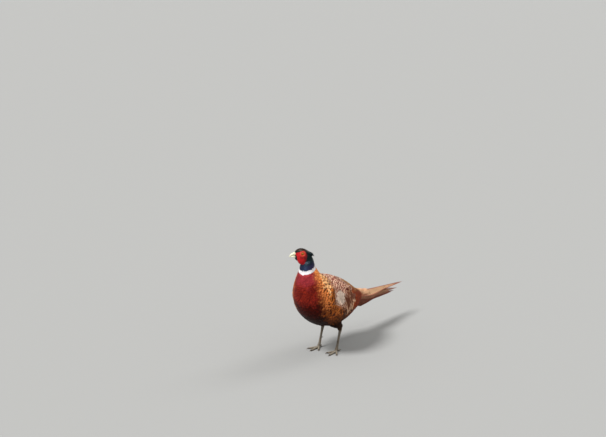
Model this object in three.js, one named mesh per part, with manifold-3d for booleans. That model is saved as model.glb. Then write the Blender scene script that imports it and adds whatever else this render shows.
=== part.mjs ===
// A cock common pheasant standing at rest with its head turned to its right, at life size.
// Millimetres, +Z up. The bird faces -Y and its left side is +X. The origin is under the middle of its box, on the ground.

import * as THREE from "three";
import { mergeVertices } from "three/addons/utils/BufferGeometryUtils.js";
import Module from "manifold-3d";

const wasm = await Module();
wasm.setup();

const GAP = 0.4; // between solids that touch
const TOLERANCE = 0.08; // how far a finished surface may be smoothed
const LEFT = 1;
const RIGHT = -1;
const SIDES = [
  ["left", LEFT],
  ["right", RIGHT],
];

// The trunk and neck in the middle plane, from under the tail to the top of the neck, as forward and up.
const BACK = [
  [-268, 172], [-232, 183], [-196, 199], [-150, 226], [-98, 253], [-38, 276], [10, 289],
  [43, 298], [59, 306], [69, 316], [76, 327], [82, 339], [86, 353], [89, 366],
];
const BREAST = [
  [-262, 150], [-226, 141], [-184, 125], [-130, 106], [-76, 95], [-16, 94], [42, 110],
  [93, 146], [126, 194], [139, 243], [141, 283], [137, 312], [132, 334], [128, 350],
];
const HALF_WIDTH = [15, 26, 43, 61, 75, 82, 82, 76, 65, 52, 39, 29.5, 25, 22];
const LAST = BACK.length - 1;
const PEAR = 0.09; // how much wider the trunk is below its middle than above
const TRUNK_AROUND = 26;
const TRUNK_ALONG = 24;
const NECK_CUT = 9.55;
const NECK_GAP = 0.045; // in stations, GAP or a little more

// The head in its own frame: forward is along the bill, and the origin is the middle of the skull.
const HEAD_PLACE = [-7, 113, 377];
const HEAD_TURN = -55; // degrees, to the bird's right
const HEAD_STATIONS = [-25, -19, -7, 7, 20, 30, 36];
const HEAD_TOP = [0, 7, 15.5, 20.5, 20.5, 15, 8];
const HEAD_BOTTOM = [-15, -27, -33, -33, -29, -23, -11];
const HEAD_WIDTH = [7, 14, 17.5, 17.5, 13.5, 9, 5.5];

const EYE_PLACE = [13.4, 8, 4.5];
const EYE_RADIUS = 5.6;
const EYE_OPENING = [7, 6.6, 6.6];
const WATTLE_PLACE = [12.5, 10.5, -9];
const WATTLE_RADII = [8, 17, 24.5];
const WATTLE_LEAN = 10; // degrees, lower end forward

// The bill's middle line, edge between the mandibles and underside, as forward and up in the head's frame.
const CULMEN = [[26, 8], [35, 7.6], [43, 4.6], [50, -1], [54.5, -9]];
const EDGE = [[25, -4.5], [34, -4], [42, -4.4], [49, -6.6], [53.8, -9.6]];
const CHIN = [[26, -11], [33, -11], [39, -10.8], [45, -10], [50, -9]];
const BILL_WIDTH = [7.5, 6.6, 5, 3.2, 0.9];

const TUFT_ROOT = [8.5, -11, 9];
const TUFT_TIP = [10, -33, 1];
const TUFT_RADIUS = 4.2;

// The folded wing lies on the trunk. Its outline runs from the wrist to the tip, in the trunk's stations and in degrees from the back.
const WING_STATIONS = [7.75, 6.9, 5.6, 4.3, 3.0, 2.0, 1.35];
const WING_UPPER = [74, 56, 46, 42, 42, 50, 64];
const WING_LOWER = [98, 112, 118, 117, 110, 98, 78];
const WING_THICK = 9;
const WING_EDGE = 1.6;
const WING_CLEAR = 1.4; // between the wing and the trunk, both faceted
const TIP_ROOT = [58, -128, 196];
const TIP_END = [21, -246, 174];
const TIP_HALF_HEIGHT = 15;
const TIP_THICK = 3.2;

// The tail is a roof of long blades. Each blade's length runs from the tail's root.
const TAIL_ROOT = [0, -190, 172];
const TAIL_DROOP = 6.3; // degrees below level
const CENTRE_LENGTH = 418;
const SIDE_LENGTHS = [352, 322, 280, 236, 192, 150];
const BLADE_HALF_WIDTH = 17;
const CENTRE_ROLL = 33; // degrees down from level, to each side
const ROLL_STEP = 5;
const SIDE_DROOP = 3.2; // degrees the side blades hang below the middle pair
const DROOP_STEP = 0.5;
const SPLAY = 0.3; // degrees to each side, for the middle pair
const SPLAY_STEP = 0.75;
const BLADE_DROP = 3.0; // down and out, from one blade to the next
const CENTRE_THICK = 1.2;
const SIDE_THICK = 4.2;

const FOOT_SPREAD = 40; // from the middle to each foot
const FOOT_FORWARD = -34;
const STRIDE = 8; // the left foot stands this far ahead of the middle, and the right foot as far behind
const THIGH = [[-8, 30, 137, 30], [-5, 12, 117, 25], [-1, -9, 100, 17], [0, -25, 87, 10.5]];
const SHANK = [[0, -27, 84, 6.6], [0, -27, 76, 6.4], [0, -20, 58, 4.3], [0, -10, 32, 4.0], [0, -3, 14, 5.2], [0, 0, 8, 6.8]];
const HUB_RADIUS = 6.6;
const HUB_HEIGHT = 7.4;
const SPUR_HEIGHT = 34;
const SPUR_LENGTH = 13;
// Each toe: its name, bearing in degrees outward from forward, length, thickness and how high it starts.
const TOES = [
  ["inner", -27, 36, 3.4, 6],
  ["middle", 2, 50, 3.7, 6],
  ["outer", 31, 40, 3.3, 6],
  ["hind", 172, 17, 2.7, 10],
];
const CLAW_LENGTH = 11;

const PLUMAGE = 0x7a3420;
const COLOURS = {
  trunk: PLUMAGE,
  neck: 0x1c2f3c,
  head: 0x233029,
  wattle: 0xb3161c,
  bill: 0xd9d2ac,
  eye: 0xc98a1e,
  tuft: 0x101c24,
  wing: 0xa98d78,
  tail: 0xa0764e,
  thigh: 0x3d2318,
  shank: 0x8a8377,
  claw: 0x4a4038,
};

const degrees = THREE.MathUtils.degToRad;
const lerp = THREE.MathUtils.lerp;

// A point of the bird: to its left, forward along its heading and up from the ground.
const at = (left, forward, up) => new THREE.Vector3(left, -forward, up);

// The smooth value of a list at a place counted in its own steps.
function through(values, place) {
  const points = values.map((v, i) => new THREE.Vector2(i, v));
  return new THREE.SplineCurve(points).getPoint(place / (values.length - 1)).y;
}

// A smooth line through points of the middle plane, at a place counted in its own steps.
function lineThrough(pairs) {
  const curve = new THREE.SplineCurve(pairs.map(([x, y]) => new THREE.Vector2(x, y)));
  return (place) => curve.getPoint(place / (pairs.length - 1));
}

// A manifold-3d solid of a closed geometry, turned to face outwards.
function solidOf(geometry) {
  const bare = geometry.clone();
  bare.deleteAttribute("normal");
  bare.deleteAttribute("uv");
  const merged = mergeVertices(bare, 1e-3);
  const make = (triVerts) =>
    new wasm.Manifold(
      new wasm.Mesh({
        numProp: 3,
        vertProperties: new Float32Array(merged.attributes.position.array),
        triVerts,
      }),
    );
  const triangles = new Uint32Array(merged.index.array);
  const made = make(triangles);
  if (made.volume() > 0) return made;
  for (let i = 0; i < triangles.length; i += 3) {
    [triangles[i + 1], triangles[i + 2]] = [triangles[i + 2], triangles[i + 1]];
  }
  return make(triangles);
}

// Moves every vertex of a geometry by a function of its old place.
function reshaped(geometry, place) {
  const position = geometry.attributes.position;
  const old = new THREE.Vector3();
  for (let i = 0; i < position.count; i++) {
    const moved = place(old.fromBufferAttribute(position, i));
    position.setXYZ(i, moved.x, moved.y, moved.z);
  }
  return geometry;
}

// A rounded bar with flat ends: place(share along, angle, share of the radius) gives each vertex.
function bar(around, along, place) {
  const unit = new THREE.CylinderGeometry(1, 1, 1, around, along);
  return solidOf(
    reshaped(unit, (p) => place(0.5 - p.y, Math.atan2(p.x, p.z), Math.hypot(p.x, p.z))),
  );
}

// A thin plate: place(share along, share across, share through) gives each vertex.
function plate(along, across, place) {
  const unit = new THREE.BoxGeometry(1, 1, 1, along, across, 1);
  return solidOf(reshaped(unit, (p) => place(p.x + 0.5, p.y + 0.5, p.z + 0.5)));
}

// A round bar along points, each with its own radius; floor keeps it from going lower.
function limb(points, around, along, { swell = 0, floor = -Infinity, to = (v) => v } = {}) {
  const path = new THREE.CatmullRomCurve3(points.map(([l, f, u]) => at(l, f, u)));
  const radii = points.map((p) => p[3]);
  const frames = path.computeFrenetFrames(along, false);
  return bar(around, along, (t, angle, r) => {
    const i = Math.round(t * along);
    const radius = (through(radii, t * (radii.length - 1)) + swell) * r;
    const v = path
      .getPoint(t)
      .addScaledVector(frames.normals[i], Math.cos(angle) * radius)
      .addScaledVector(frames.binormals[i], Math.sin(angle) * radius);
    v.z = Math.max(v.z, floor);
    return to(v);
  });
}

const backAt = lineThrough(BACK);
const breastAt = lineThrough(BREAST);

// The surface of the trunk and neck, at a station and an angle from the back towards the left, swollen by a distance.
function bodyPoint(station, angle, r = 1, swell = 0) {
  const top = backAt(station);
  const bottom = breastAt(station);
  const middle = top.clone().lerp(bottom, 0.5);
  const up = top.clone().sub(bottom).normalize();
  const half = top.distanceTo(bottom) / 2 + swell;
  const pear = PEAR * THREE.MathUtils.smoothstep(9 - station, 0, 3);
  const wide = (through(HALF_WIDTH, station) + swell) * (1 - pear * Math.cos(angle));
  const raise = half * Math.cos(angle) * r;
  return at(wide * Math.sin(angle) * r, middle.x + up.x * raise, middle.y + up.y * raise);
}

function bodyLength(from, to, around, along, swell = 0) {
  return bar(around, along, (t, angle, r) => bodyPoint(lerp(from, to, t), angle, r, swell));
}

const headGroup = new THREE.Group();
headGroup.position.copy(at(...HEAD_PLACE));
headGroup.rotation.z = degrees(HEAD_TURN);
headGroup.updateMatrix();

// A solid of the head's frame in the bird's frame, and the other way round.
const fromHead = (solid) => solid.transform(headGroup.matrix.elements);
const toHead = (solid) => solid.transform(headGroup.matrix.clone().invert().elements);

function headSolid(swell) {
  const steps = HEAD_STATIONS.length - 1;
  return bar(22, 13, (t, angle, r) => {
    const place = t * steps;
    const top = through(HEAD_TOP, place) + swell;
    const bottom = through(HEAD_BOTTOM, place) - swell;
    const wide = through(HEAD_WIDTH, place) + swell;
    const outward = lerp(-swell, swell, t);
    return at(
      wide * Math.sin(angle) * r,
      through(HEAD_STATIONS, place) + outward,
      lerp(bottom, top, 0.5 + 0.5 * Math.cos(angle) * r),
    );
  });
}

// A ball stretched along the head's axes, leaning forward at its lower end.
function headBall([left, forward, up], [a, b, c], lean, detail) {
  const tilt = degrees(lean);
  return solidOf(
    reshaped(new THREE.SphereGeometry(1, detail, Math.round(detail * 0.7)), (p) => {
      const along = p.y * b;
      const rise = p.z * c;
      return at(
        left + p.x * a,
        forward + along * Math.cos(tilt) - rise * Math.sin(tilt),
        up + rise * Math.cos(tilt) + along * Math.sin(tilt),
      );
    }),
  );
}

// One half of the bill between an upper and a lower line.
function mandible(upper, lower, widths, keep) {
  const steps = upper.length - 1;
  return bar(10, 8, (t, angle, r) => {
    const place = t * steps;
    const high = lineThrough(upper)(place);
    const low = lineThrough(lower)(place);
    const share = 0.5 + 0.5 * Math.cos(angle) * r;
    return at(
      through(widths, place) * Math.sin(angle) * r * keep,
      lerp(low.x, high.x, share),
      lerp(low.y, high.y, share),
    );
  });
}

function earTuft(side) {
  return bar(8, 5, (t, angle, r) => {
    const [l, f, u] = TUFT_ROOT.map((v, i) => lerp(v, TUFT_TIP[i], t));
    const radius = TUFT_RADIUS * (1 - 0.88 * t ** 1.6) * r;
    return at(
      side * l + Math.cos(angle) * radius * 0.7,
      f,
      u + Math.sin(angle) * radius,
    );
  });
}

// The folded wing as a shell on the trunk, thickest along its middle.
function wingShell(side, lift, inner) {
  const steps = WING_STATIONS.length - 1;
  return plate(14, 6, (t, across, through01) => {
    const place = t * steps;
    const angle = degrees(
      lerp(through(WING_UPPER, place), through(WING_LOWER, place), across),
    );
    const round = Math.sqrt(Math.max(0, 1 - (2 * across - 1) ** 2));
    const taper = Math.sin(Math.PI * Math.min(1, 0.12 + t * 1.6) * 0.5) * (1 - 0.55 * t);
    const thick = WING_EDGE + (WING_THICK - WING_EDGE) * round * taper;
    const height = through01 > 0.5 ? thick + lift : inner;
    return bodyPoint(through(WING_STATIONS, place), side * angle, 1, height);
  });
}

// The ends of the long wing feathers, lying past the folded wing beside the rump.
function wingTip(side) {
  return plate(7, 1, (t, across, thick) => {
    const [l, f, u] = TIP_ROOT.map((v, i) => lerp(v, TIP_END[i], t));
    const half = TIP_HALF_HEIGHT * (1 - 0.86 * t ** 1.5);
    return at(
      side * (l + (thick - 0.5) * TIP_THICK * (1 - 0.7 * t) + 5 * Math.sin(Math.PI * t)),
      f,
      u + (across - 0.5) * 2 * half,
    );
  });
}

// One long tail feather as a flat blade, wide for most of its length and narrowing to its tip.
function tailBlade(side, index, length, thickness, swell = 0) {
  const yaw = -degrees(SPLAY + SPLAY_STEP * index) * side;
  const extra = index > 0 ? SIDE_DROOP + DROOP_STEP * (index - 1) : 0;
  const droop = degrees(TAIL_DROOP + extra);
  const roll = degrees(CENTRE_ROLL + ROLL_STEP * index) * side;
  const drop = BLADE_DROP * index;
  return plate(9, 1, (t, across, thick) => {
    const half = BLADE_HALF_WIDTH * (0.72 + 0.28 * Math.sin(Math.PI * Math.min(1, t * 1.7)))
      * (1 - 0.93 * Math.max(0, (t - 0.3) / 0.7) ** 1.35) + swell;
    const out = half * (across * 2 - 1) + half * 0.93;
    const lift = (thick - 0.5) * (thickness + 2 * swell);
    return at(
      side * (out * Math.cos(roll) + drop * 0.55) + lift * Math.sin(roll),
      -t * length,
      -Math.abs(out * Math.sin(roll)) - drop * 0.83 + lift * Math.cos(roll),
    )
      .applyAxisAngle(new THREE.Vector3(1, 0, 0), -droop)
      .applyAxisAngle(new THREE.Vector3(0, 0, 1), yaw)
      .add(at(...TAIL_ROOT));
  });
}

const group = new THREE.Group();

// Adds a solid to the bird as a named mesh.
function add(name, solid, colour, roughness = 0.8, parent = group) {
  const mesh = solid.asOriginal().simplify(TOLERANCE).getMesh();
  const geometry = new THREE.BufferGeometry();
  geometry.setAttribute("position", new THREE.BufferAttribute(mesh.vertProperties, 3));
  geometry.setIndex(new THREE.BufferAttribute(mesh.triVerts, 1));
  geometry.computeVertexNormals();
  const material = new THREE.MeshStandardMaterial({ color: colour, roughness, metalness: 0 });
  const made = new THREE.Mesh(geometry, material);
  made.name = name;
  parent.add(made);
}

// Trunk, neck and head
const trunkSwollen = bodyLength(0, NECK_CUT, TRUNK_AROUND, TRUNK_ALONG, GAP);
add("trunk", bodyLength(0, NECK_CUT, TRUNK_AROUND, TRUNK_ALONG), COLOURS.trunk);
const head = headSolid(0);
const headSwollen = headSolid(GAP);
const wattleBalls = SIDES.map(([, side]) => {
  const [l, f, u] = WATTLE_PLACE;
  return headBall([side * l, f, u], WATTLE_RADII, WATTLE_LEAN, 14);
});
const neck = bodyLength(NECK_CUT + NECK_GAP, LAST, 22, 9).subtract(fromHead(headSwollen));
add("neck", neck, COLOURS.neck);

function addHead() {
  const eyes = SIDES.map(([, side]) => {
    const [l, f, u] = EYE_PLACE;
    const ball = (radius) => headBall([side * l, f, u], [radius, radius, radius], 0, 12);
    const opening = headBall([side * (l + EYE_RADIUS + 2), f, u], EYE_OPENING, 0, 12);
    return [ball(EYE_RADIUS), ball(EYE_RADIUS + GAP).add(opening)];
  });
  const upper = mandible(CULMEN, EDGE, BILL_WIDTH, 1);
  const lower = mandible(
    EDGE.map(([f, u]) => [Math.min(f, 53), u - GAP]),
    CHIN,
    BILL_WIDTH,
    0.86,
  );
  let skull = head;
  eyes.forEach(([, socket]) => {
    skull = skull.subtract(socket);
  });
  const neckTop = toHead(bodyLength(NECK_CUT + NECK_GAP, LAST, 22, 9, GAP));
  SIDES.forEach(([name, side], i) => {
    const wattle = wattleBalls[i]
      .subtract(headSwollen)
      .subtract(eyes[i][1])
      .subtract(neckTop);
    add(`wattle_${name}`, largest(wattle), COLOURS.wattle, 0.6, headGroup);
    add(`eye_${name}`, eyes[i][0], COLOURS.eye, 0.1, headGroup);
    add(`ear_tuft_${name}`, earTuft(side).subtract(headSwollen), COLOURS.tuft, 0.6, headGroup);
  });
  add("head", skull, COLOURS.head, 0.6, headGroup);
  add("bill_upper", upper.subtract(headSwollen), COLOURS.bill, 0.35, headGroup);
  add("bill_lower", lower.subtract(headSwollen), COLOURS.bill, 0.35, headGroup);
}

function addWings() {
  SIDES.forEach(([name, side]) => {
    add(`wing_${name}`, wingShell(side, 0, WING_CLEAR), COLOURS.wing);
    const tip = wingTip(side).subtract(wingShell(side, GAP, -20)).subtract(trunkSwollen);
    add(`wing_tip_${name}`, largest(tip), COLOURS.wing);
  });
}

function addTail() {
  const spare = SIDES.map(([, side]) => tailBlade(side, 0, CENTRE_LENGTH, CENTRE_THICK, GAP));
  SIDES.forEach(([name, side], i) => {
    const centre = tailBlade(side, 0, CENTRE_LENGTH, CENTRE_THICK).subtract(trunkSwollen);
    const other = spare[1 - i];
    const kept = i === 0 ? centre : centre.subtract(other);
    add(`tail_centre_${name}`, largest(kept), COLOURS.tail);
    let fan = tailBlade(side, 1, SIDE_LENGTHS[0], SIDE_THICK);
    SIDE_LENGTHS.slice(1).forEach((length, k) => {
      fan = fan.add(tailBlade(side, k + 2, length, SIDE_THICK));
    });
    const clear = fan.subtract(spare[0]).subtract(spare[1]).subtract(trunkSwollen);
    add(`tail_side_${name}`, largest(clear), COLOURS.tail);
  });
}

// The largest of a solid's separate bodies.
function largest(solid) {
  return solid.decompose().sort((a, b) => b.volume() - a.volume())[0];
}

// A leg in its own frame, whose origin is on the ground under the foot, outward to its left.
function addLeg(name, side) {
  const place = at(side * FOOT_SPREAD, FOOT_FORWARD + side * STRIDE, 0);
  const leg = new THREE.Group();
  leg.position.copy(place);
  leg.scale.x = side;
  group.add(leg);
  const toLeg = (v) => new THREE.Vector3((v.x - place.x) * side, v.y - place.y, v.z);
  const trunkHere = bar(TRUNK_AROUND, TRUNK_ALONG, (t, angle, r) =>
    toLeg(bodyPoint(lerp(0, NECK_CUT, t), angle, r, GAP)),
  );
  const thigh = limb(THIGH, 14, 7).subtract(trunkHere);
  add(`thigh_${name}`, largest(thigh), COLOURS.thigh, 0.9, leg);

  const ball = (radius) =>
    solidOf(
      reshaped(new THREE.SphereGeometry(radius, 10, 7), (p) =>
        at(p.x, -p.y, Math.max(p.z + HUB_HEIGHT, GAP * 2)),
      ),
    );
  const shank = limb(SHANK, 9, 8).add(ball(HUB_RADIUS));
  const spurRoot = [0, -8, SPUR_HEIGHT, 3];
  const spur = limb([spurRoot, [-3, -14, SPUR_HEIGHT, 2.2], [-5, -8 - SPUR_LENGTH, SPUR_HEIGHT + 2, 0.5]], 6, 3);
  const shankSwollen = limb(SHANK, 9, 8, { swell: GAP }).add(ball(HUB_RADIUS + GAP));
  add(`shank_${name}`, shank.subtract(limb(THIGH, 14, 7, { swell: GAP })), COLOURS.shank, 0.6, leg);
  add(`spur_${name}`, largest(spur.subtract(shankSwollen)), COLOURS.claw, 0.4, leg);

  const taken = [shankSwollen];
  TOES.forEach(([toe, bearing, length, radius, start]) => {
    const turn = degrees(bearing);
    const along = (distance) => [distance * Math.sin(turn), distance * Math.cos(turn)];
    const raised = toe === "hind" ? 3.4 : 0;
    const points = [
      [...along(1), start, radius * 1.15],
      [...along(length * 0.3), radius * 0.9 + raised, radius * 1.08],
      [...along(length * 0.65), radius * 0.8 + raised * 0.6, radius],
      [...along(length), radius * 0.72 + raised * 0.3, radius * 0.8],
    ];
    const floor = toe === "hind" ? 0.3 : 0;
    const toeSolid = taken.reduce(
      (made, other) => made.subtract(other),
      limb(points, 7, 6, { floor }),
    );
    taken.push(limb(points, 7, 6, { swell: GAP, floor: -2 }));
    add(`toe_${toe}_${name}`, largest(toeSolid), COLOURS.shank, 0.6, leg);

    const tip = points[points.length - 1];
    const claw = [
      [...along(length + GAP), tip[2] + 0.5, radius * 0.58],
      [...along(length + CLAW_LENGTH * 0.5), tip[2] + 0.9, radius * 0.42],
      [...along(length + CLAW_LENGTH), 1.2, 0.5],
    ];
    const clawSolid = limb(claw, 6, 3, { floor: 0.3 }).subtract(taken[taken.length - 1]);
    add(`claw_${toe}_${name}`, largest(clawSolid), COLOURS.claw, 0.4, leg);
  });
}

group.add(headGroup);
addHead();
addWings();
addTail();
SIDES.forEach(([name, side]) => addLeg(name, side));

const box = new THREE.Box3().setFromObject(group, true);
const centre = box.getCenter(new THREE.Vector3());
group.position.set(-centre.x, -centre.y, -box.min.z);

export default group;
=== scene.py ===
import math

import bpy
import numpy as np
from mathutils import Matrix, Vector
from mathutils.bvhtree import BVHTree
from mathutils.kdtree import KDTree


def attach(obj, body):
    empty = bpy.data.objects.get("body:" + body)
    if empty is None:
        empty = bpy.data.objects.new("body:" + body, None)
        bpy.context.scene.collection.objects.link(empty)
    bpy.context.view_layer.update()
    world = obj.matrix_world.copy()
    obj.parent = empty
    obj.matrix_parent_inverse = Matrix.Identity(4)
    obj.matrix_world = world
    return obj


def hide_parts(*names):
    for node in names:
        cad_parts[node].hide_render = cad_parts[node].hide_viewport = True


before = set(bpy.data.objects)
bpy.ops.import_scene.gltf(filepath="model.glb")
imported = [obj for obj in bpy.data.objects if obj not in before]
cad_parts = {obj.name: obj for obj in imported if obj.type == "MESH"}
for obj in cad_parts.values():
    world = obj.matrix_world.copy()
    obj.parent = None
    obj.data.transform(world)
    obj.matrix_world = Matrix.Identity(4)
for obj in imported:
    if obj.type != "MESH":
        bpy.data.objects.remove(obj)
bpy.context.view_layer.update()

# A cock common pheasant, life size. Lengths here are in millimetres, and become metres when a mesh is made.
# Points are given in the bird's own frame: to its left, forward along its heading, and up from the ground.
# Colours are red, green and blue from 0 to 255, as seen on a screen.

MM = 0.001
ORIGIN = np.array([0, -230.349, 0])
LEFT = 1
RIGHT = -1
SIDES = (("left", LEFT), ("right", RIGHT))
FULL_TURN = 2 * np.pi
rng = np.random.default_rng(11)


def at(left, forward, up):
    """Points of the bird as x, y and z in millimetres, y running towards the tail."""
    left, forward, up = np.broadcast_arrays(left, forward, up)
    return np.stack([left, -forward, up], -1).astype(float)


def unit(vectors):
    return vectors / np.maximum(np.linalg.norm(vectors, axis=-1, keepdims=True), 1e-9)


def smooth(low, high, x):
    """0 below low, 1 above high, and a smooth step between."""
    t = np.clip((x - low) / (high - low), 0, 1)
    return t * t * (3 - 2 * t)


def window(x, low, low_end, high_start, high):
    """1 from low_end to high_start, and 0 outside low and high."""
    return smooth(low, low_end, x) * (1 - smooth(high_start, high, x))


def blend(a, b, share):
    return a * (1 - share) + b * share


def linear(colour):
    """A colour in linear light."""
    c = np.asarray(colour, float) / 255
    return np.where(c <= 0.04045, c / 12.92, ((c + 0.055) / 1.055) ** 2.4)


def turns(count):
    return np.linspace(0, FULL_TURN, count, endpoint=False)


def spokes(angle, first, second):
    """Directions round an axis at these angles from first towards second."""
    return np.cos(angle)[..., None] * first + np.sin(angle)[..., None] * second


def square_to(axis):
    """Two directions square to an axis and to each other."""
    first = unit(np.cross(axis, [0.0, 0.0, 1.0]))
    return first, np.cross(axis, first)


def through(values, place):
    """The smooth value of a list at a place counted in its own steps."""
    values = np.asarray(values, float)
    last = len(values) - 1
    place = np.clip(np.asarray(place, float), 0, last)
    i = np.minimum(place.astype(int), last - 1)
    t = place - i
    if values.ndim > 1:
        t = t[..., None]
    before, a, b, after = (values[k] for k in (np.maximum(i - 1, 0), i, i + 1, np.minimum(i + 2, last)))
    va, vb = (b - before) / 2, (after - a) / 2
    return (2 * a - 2 * b + va + vb) * t**3 + (-3 * a + 3 * b - 2 * va - vb) * t**2 + va * t + a


# The body's shape, as the frame has it: forward and up of its back and breast at each station

FIRST_STATION = -2
BACK = [
    [-350, 155], [-308, 164], [-268, 173], [-232, 183], [-196, 199], [-150, 226], [-98, 253], [-38, 276],
    [10, 289], [43, 298], [59, 306], [69, 316], [76, 327], [82, 339], [86, 353], [89, 366],
]
BREAST = [
    [-346, 123], [-302, 127], [-262, 134], [-226, 141], [-184, 125], [-130, 106], [-76, 95], [-16, 94],
    [42, 110], [93, 146], [126, 194], [139, 243], [141, 283], [137, 312], [132, 334], [128, 350],
]
HALF_WIDTH = [18, 21, 23, 27, 43, 61, 75, 82, 82, 76, 65, 52, 39, 29.5, 25, 22]
PEAR = 0.09

# the folded wing's stations, with its upper and lower edges in degrees from the back
WING_STATIONS = [1.35, 2.0, 3.0, 4.3, 5.6, 6.9, 7.75]
WING_UPPER = [64, 50, 42, 42, 46, 56, 74]
WING_LOWER = [78, 98, 110, 117, 118, 112, 98]

# the head's place, and the features on it as left, forward and up in its own frame
HEAD_PLACE = at(-7, 113, 377)
HEAD_TURN = math.radians(-55)
EYE_PLACE = (13.4, 8, 4.5)
EYE_AXIS = (-0.12, 0.05)
EYE_RADIUS = 5.6
WATTLE_PLACE = (10.5, -9)
WATTLE_REACH = (17, 24.5)
WATTLE_LEAN = math.radians(10)
LORE_PLACE = (22.5, 1.5)
LORE_REACH = (10.5, 7.5)


def body(station, angle, lift=0.0):
    """The surface of the trunk and neck at a station and an angle from the back towards the left."""
    station, angle = np.asarray(station, float), np.asarray(angle, float)
    k = station - FIRST_STATION
    top, low = through(BACK, k), through(BREAST, k)
    middle, across = (top + low) / 2, top - low
    length = np.linalg.norm(across, axis=-1)
    up = across / length[..., None]
    rise = (length / 2 + lift) * np.cos(angle)
    pear = PEAR * smooth(0, 3, 9 - station)
    wide = (through(HALF_WIDTH, k) + lift) * (1 - pear * np.cos(angle))
    return at(wide * np.sin(angle), middle[..., 0] + up[..., 0] * rise, middle[..., 1] + up[..., 1] * rise)


def tailwards(station, angle):
    """The direction along the body towards the tail."""
    return unit(body(station - 0.05, angle) - body(station + 0.05, angle))


def from_back(angle):
    return np.degrees(np.minimum(angle, FULL_TURN - angle))


COSINE, SINE = math.cos(HEAD_TURN), math.sin(HEAD_TURN)
TURN = np.array([[COSINE, -SINE, 0], [SINE, COSINE, 0], [0, 0, 1]])


def from_head(points):
    """Points of the head's own frame, in the bird's."""
    return points @ TURN.T + HEAD_PLACE


def in_head(points):
    """Left, forward and up in the head's own frame of points in the bird's."""
    p = (points - HEAD_PLACE) @ TURN
    return p[..., 0], -p[..., 1], p[..., 2]


# Making meshes


def read(items, field, size, kind=float):
    """One field of all of a mesh's items, in rows of the given size."""
    values = np.empty(len(items) * size, kind)
    items.foreach_get(field, values)
    return values.reshape(-1, size)


def made(name, points, faces, materials, face_material=None):
    """A smooth mesh object of the bird from points in millimetres and arrays of quads and of triangles."""
    mesh = bpy.data.meshes.new(name)
    faces = [np.asarray(f, np.int32) for f in faces if len(f)]
    corners = np.concatenate([np.full(len(f), f.shape[1], np.int32) for f in faces])
    loops = np.concatenate([f.ravel() for f in faces])
    mesh.vertices.add(len(points))
    mesh.vertices.foreach_set("co", ((points + ORIGIN) * MM).astype(np.float32).ravel())
    mesh.loops.add(len(loops))
    mesh.loops.foreach_set("vertex_index", loops)
    mesh.polygons.add(len(corners))
    mesh.polygons.foreach_set("loop_start", np.concatenate([[0], np.cumsum(corners)[:-1]]).astype(np.int32))
    if face_material is not None:
        mesh.polygons.foreach_set("material_index", face_material.astype(np.int32))
    mesh.update(calc_edges=True)
    mesh.polygons.foreach_set("use_smooth", np.full(len(corners), True))
    mesh.validate()
    for material in materials:
        mesh.materials.append(material)
    ob = bpy.data.objects.new(name, mesh)
    bpy.context.collection.objects.link(ob)
    return ob


def attribute(ob, name, kind, values):
    layer = ob.data.attributes.new(name, kind, "POINT")
    field = "vector"
    if kind == "FLOAT_COLOR":
        field = "color"
        values = np.concatenate([values, np.ones((len(values), 1))], 1)
    layer.data.foreach_set(field, np.ascontiguousarray(values, np.float32).ravel())


def part_of(ob, slot, *nodes):
    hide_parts(*nodes)
    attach(ob, "root")


def tube_quads(rows, around):
    """The quads between rings of points that close on themselves."""
    row, ring = np.arange(rows - 1)[:, None] * around, np.arange(around)
    after = (ring + 1) % around
    return np.stack([row + ring, row + after, row + around + after, row + around + ring], -1).reshape(-1, 4)


def ringed(grid):
    """A closed tube from rings of points: its points, quads and the triangles of its ends."""
    rows, around = grid.shape[:2]
    ring = np.arange(around)
    after = (ring + 1) % around
    first, last = np.full(around, rows * around), np.full(around, rows * around + 1)
    end = (rows - 1) * around
    caps = np.concatenate([np.stack([first, after, ring], -1), np.stack([last, end + ring, end + after], -1)])
    points = np.concatenate([grid.reshape(-1, 3), grid[:1].mean(1), grid[-1:].mean(1)])
    return points, tube_quads(rows, around), caps


def flipped(faces):
    return np.roll(faces[:, ::-1], 1, axis=1)


def triangles(quads, caps):
    return np.concatenate([quads[:, [0, 1, 2]], quads[:, [0, 2, 3]], caps])


class Joined:
    """Collects loose shapes into one mesh: points, quads, triangles, and any values at the points."""

    def __init__(self):
        self.shapes = []
        self.count = 0

    def add(self, points, quads, caps, *values):
        self.shapes.append((points, quads + self.count, caps + self.count, *values))
        self.count += len(points)

    def joined(self):
        return [np.concatenate(each) for each in zip(*self.shapes)]


def melted(nodes, voxel, rounds, extra=()):
    """The points and quads of these CAD solids and of extra meshes, run together into one surface."""
    loose = Joined()
    none = np.empty((0, 4), np.int32)
    for name in nodes:
        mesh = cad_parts[name].data
        mesh.calc_loop_triangles()
        points = read(mesh.vertices, "co", 3) / MM - ORIGIN
        loose.add(points, none, read(mesh.loop_triangles, "vertices", 3, np.int32))
    for points, faces in extra:
        loose.add(points, none, faces)
    points, *faces = loose.joined()
    ob = made("melt", points, faces, [])
    remesh = ob.modifiers.new("remesh", "REMESH")
    remesh.mode = "VOXEL"
    remesh.voxel_size = voxel * MM
    ease = ob.modifiers.new("ease", "SMOOTH")
    ease.factor = 0.5
    ease.iterations = rounds
    done = ob.evaluated_get(bpy.context.evaluated_depsgraph_get()).to_mesh()
    points = read(done.vertices, "co", 3) / MM - ORIGIN
    quads = read(done.loops, "vertex_index", 1, np.int32).reshape(-1, 4)
    bpy.data.objects.remove(ob)
    return points, quads


def normals_of(points, quads):
    a, b, c, d = (points[quads[:, i]] for i in range(4))
    face = np.cross(c - a, d - b)
    total = np.zeros_like(points)
    for i in range(4):
        np.add.at(total, quads[:, i], face)
    return unit(total)


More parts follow.
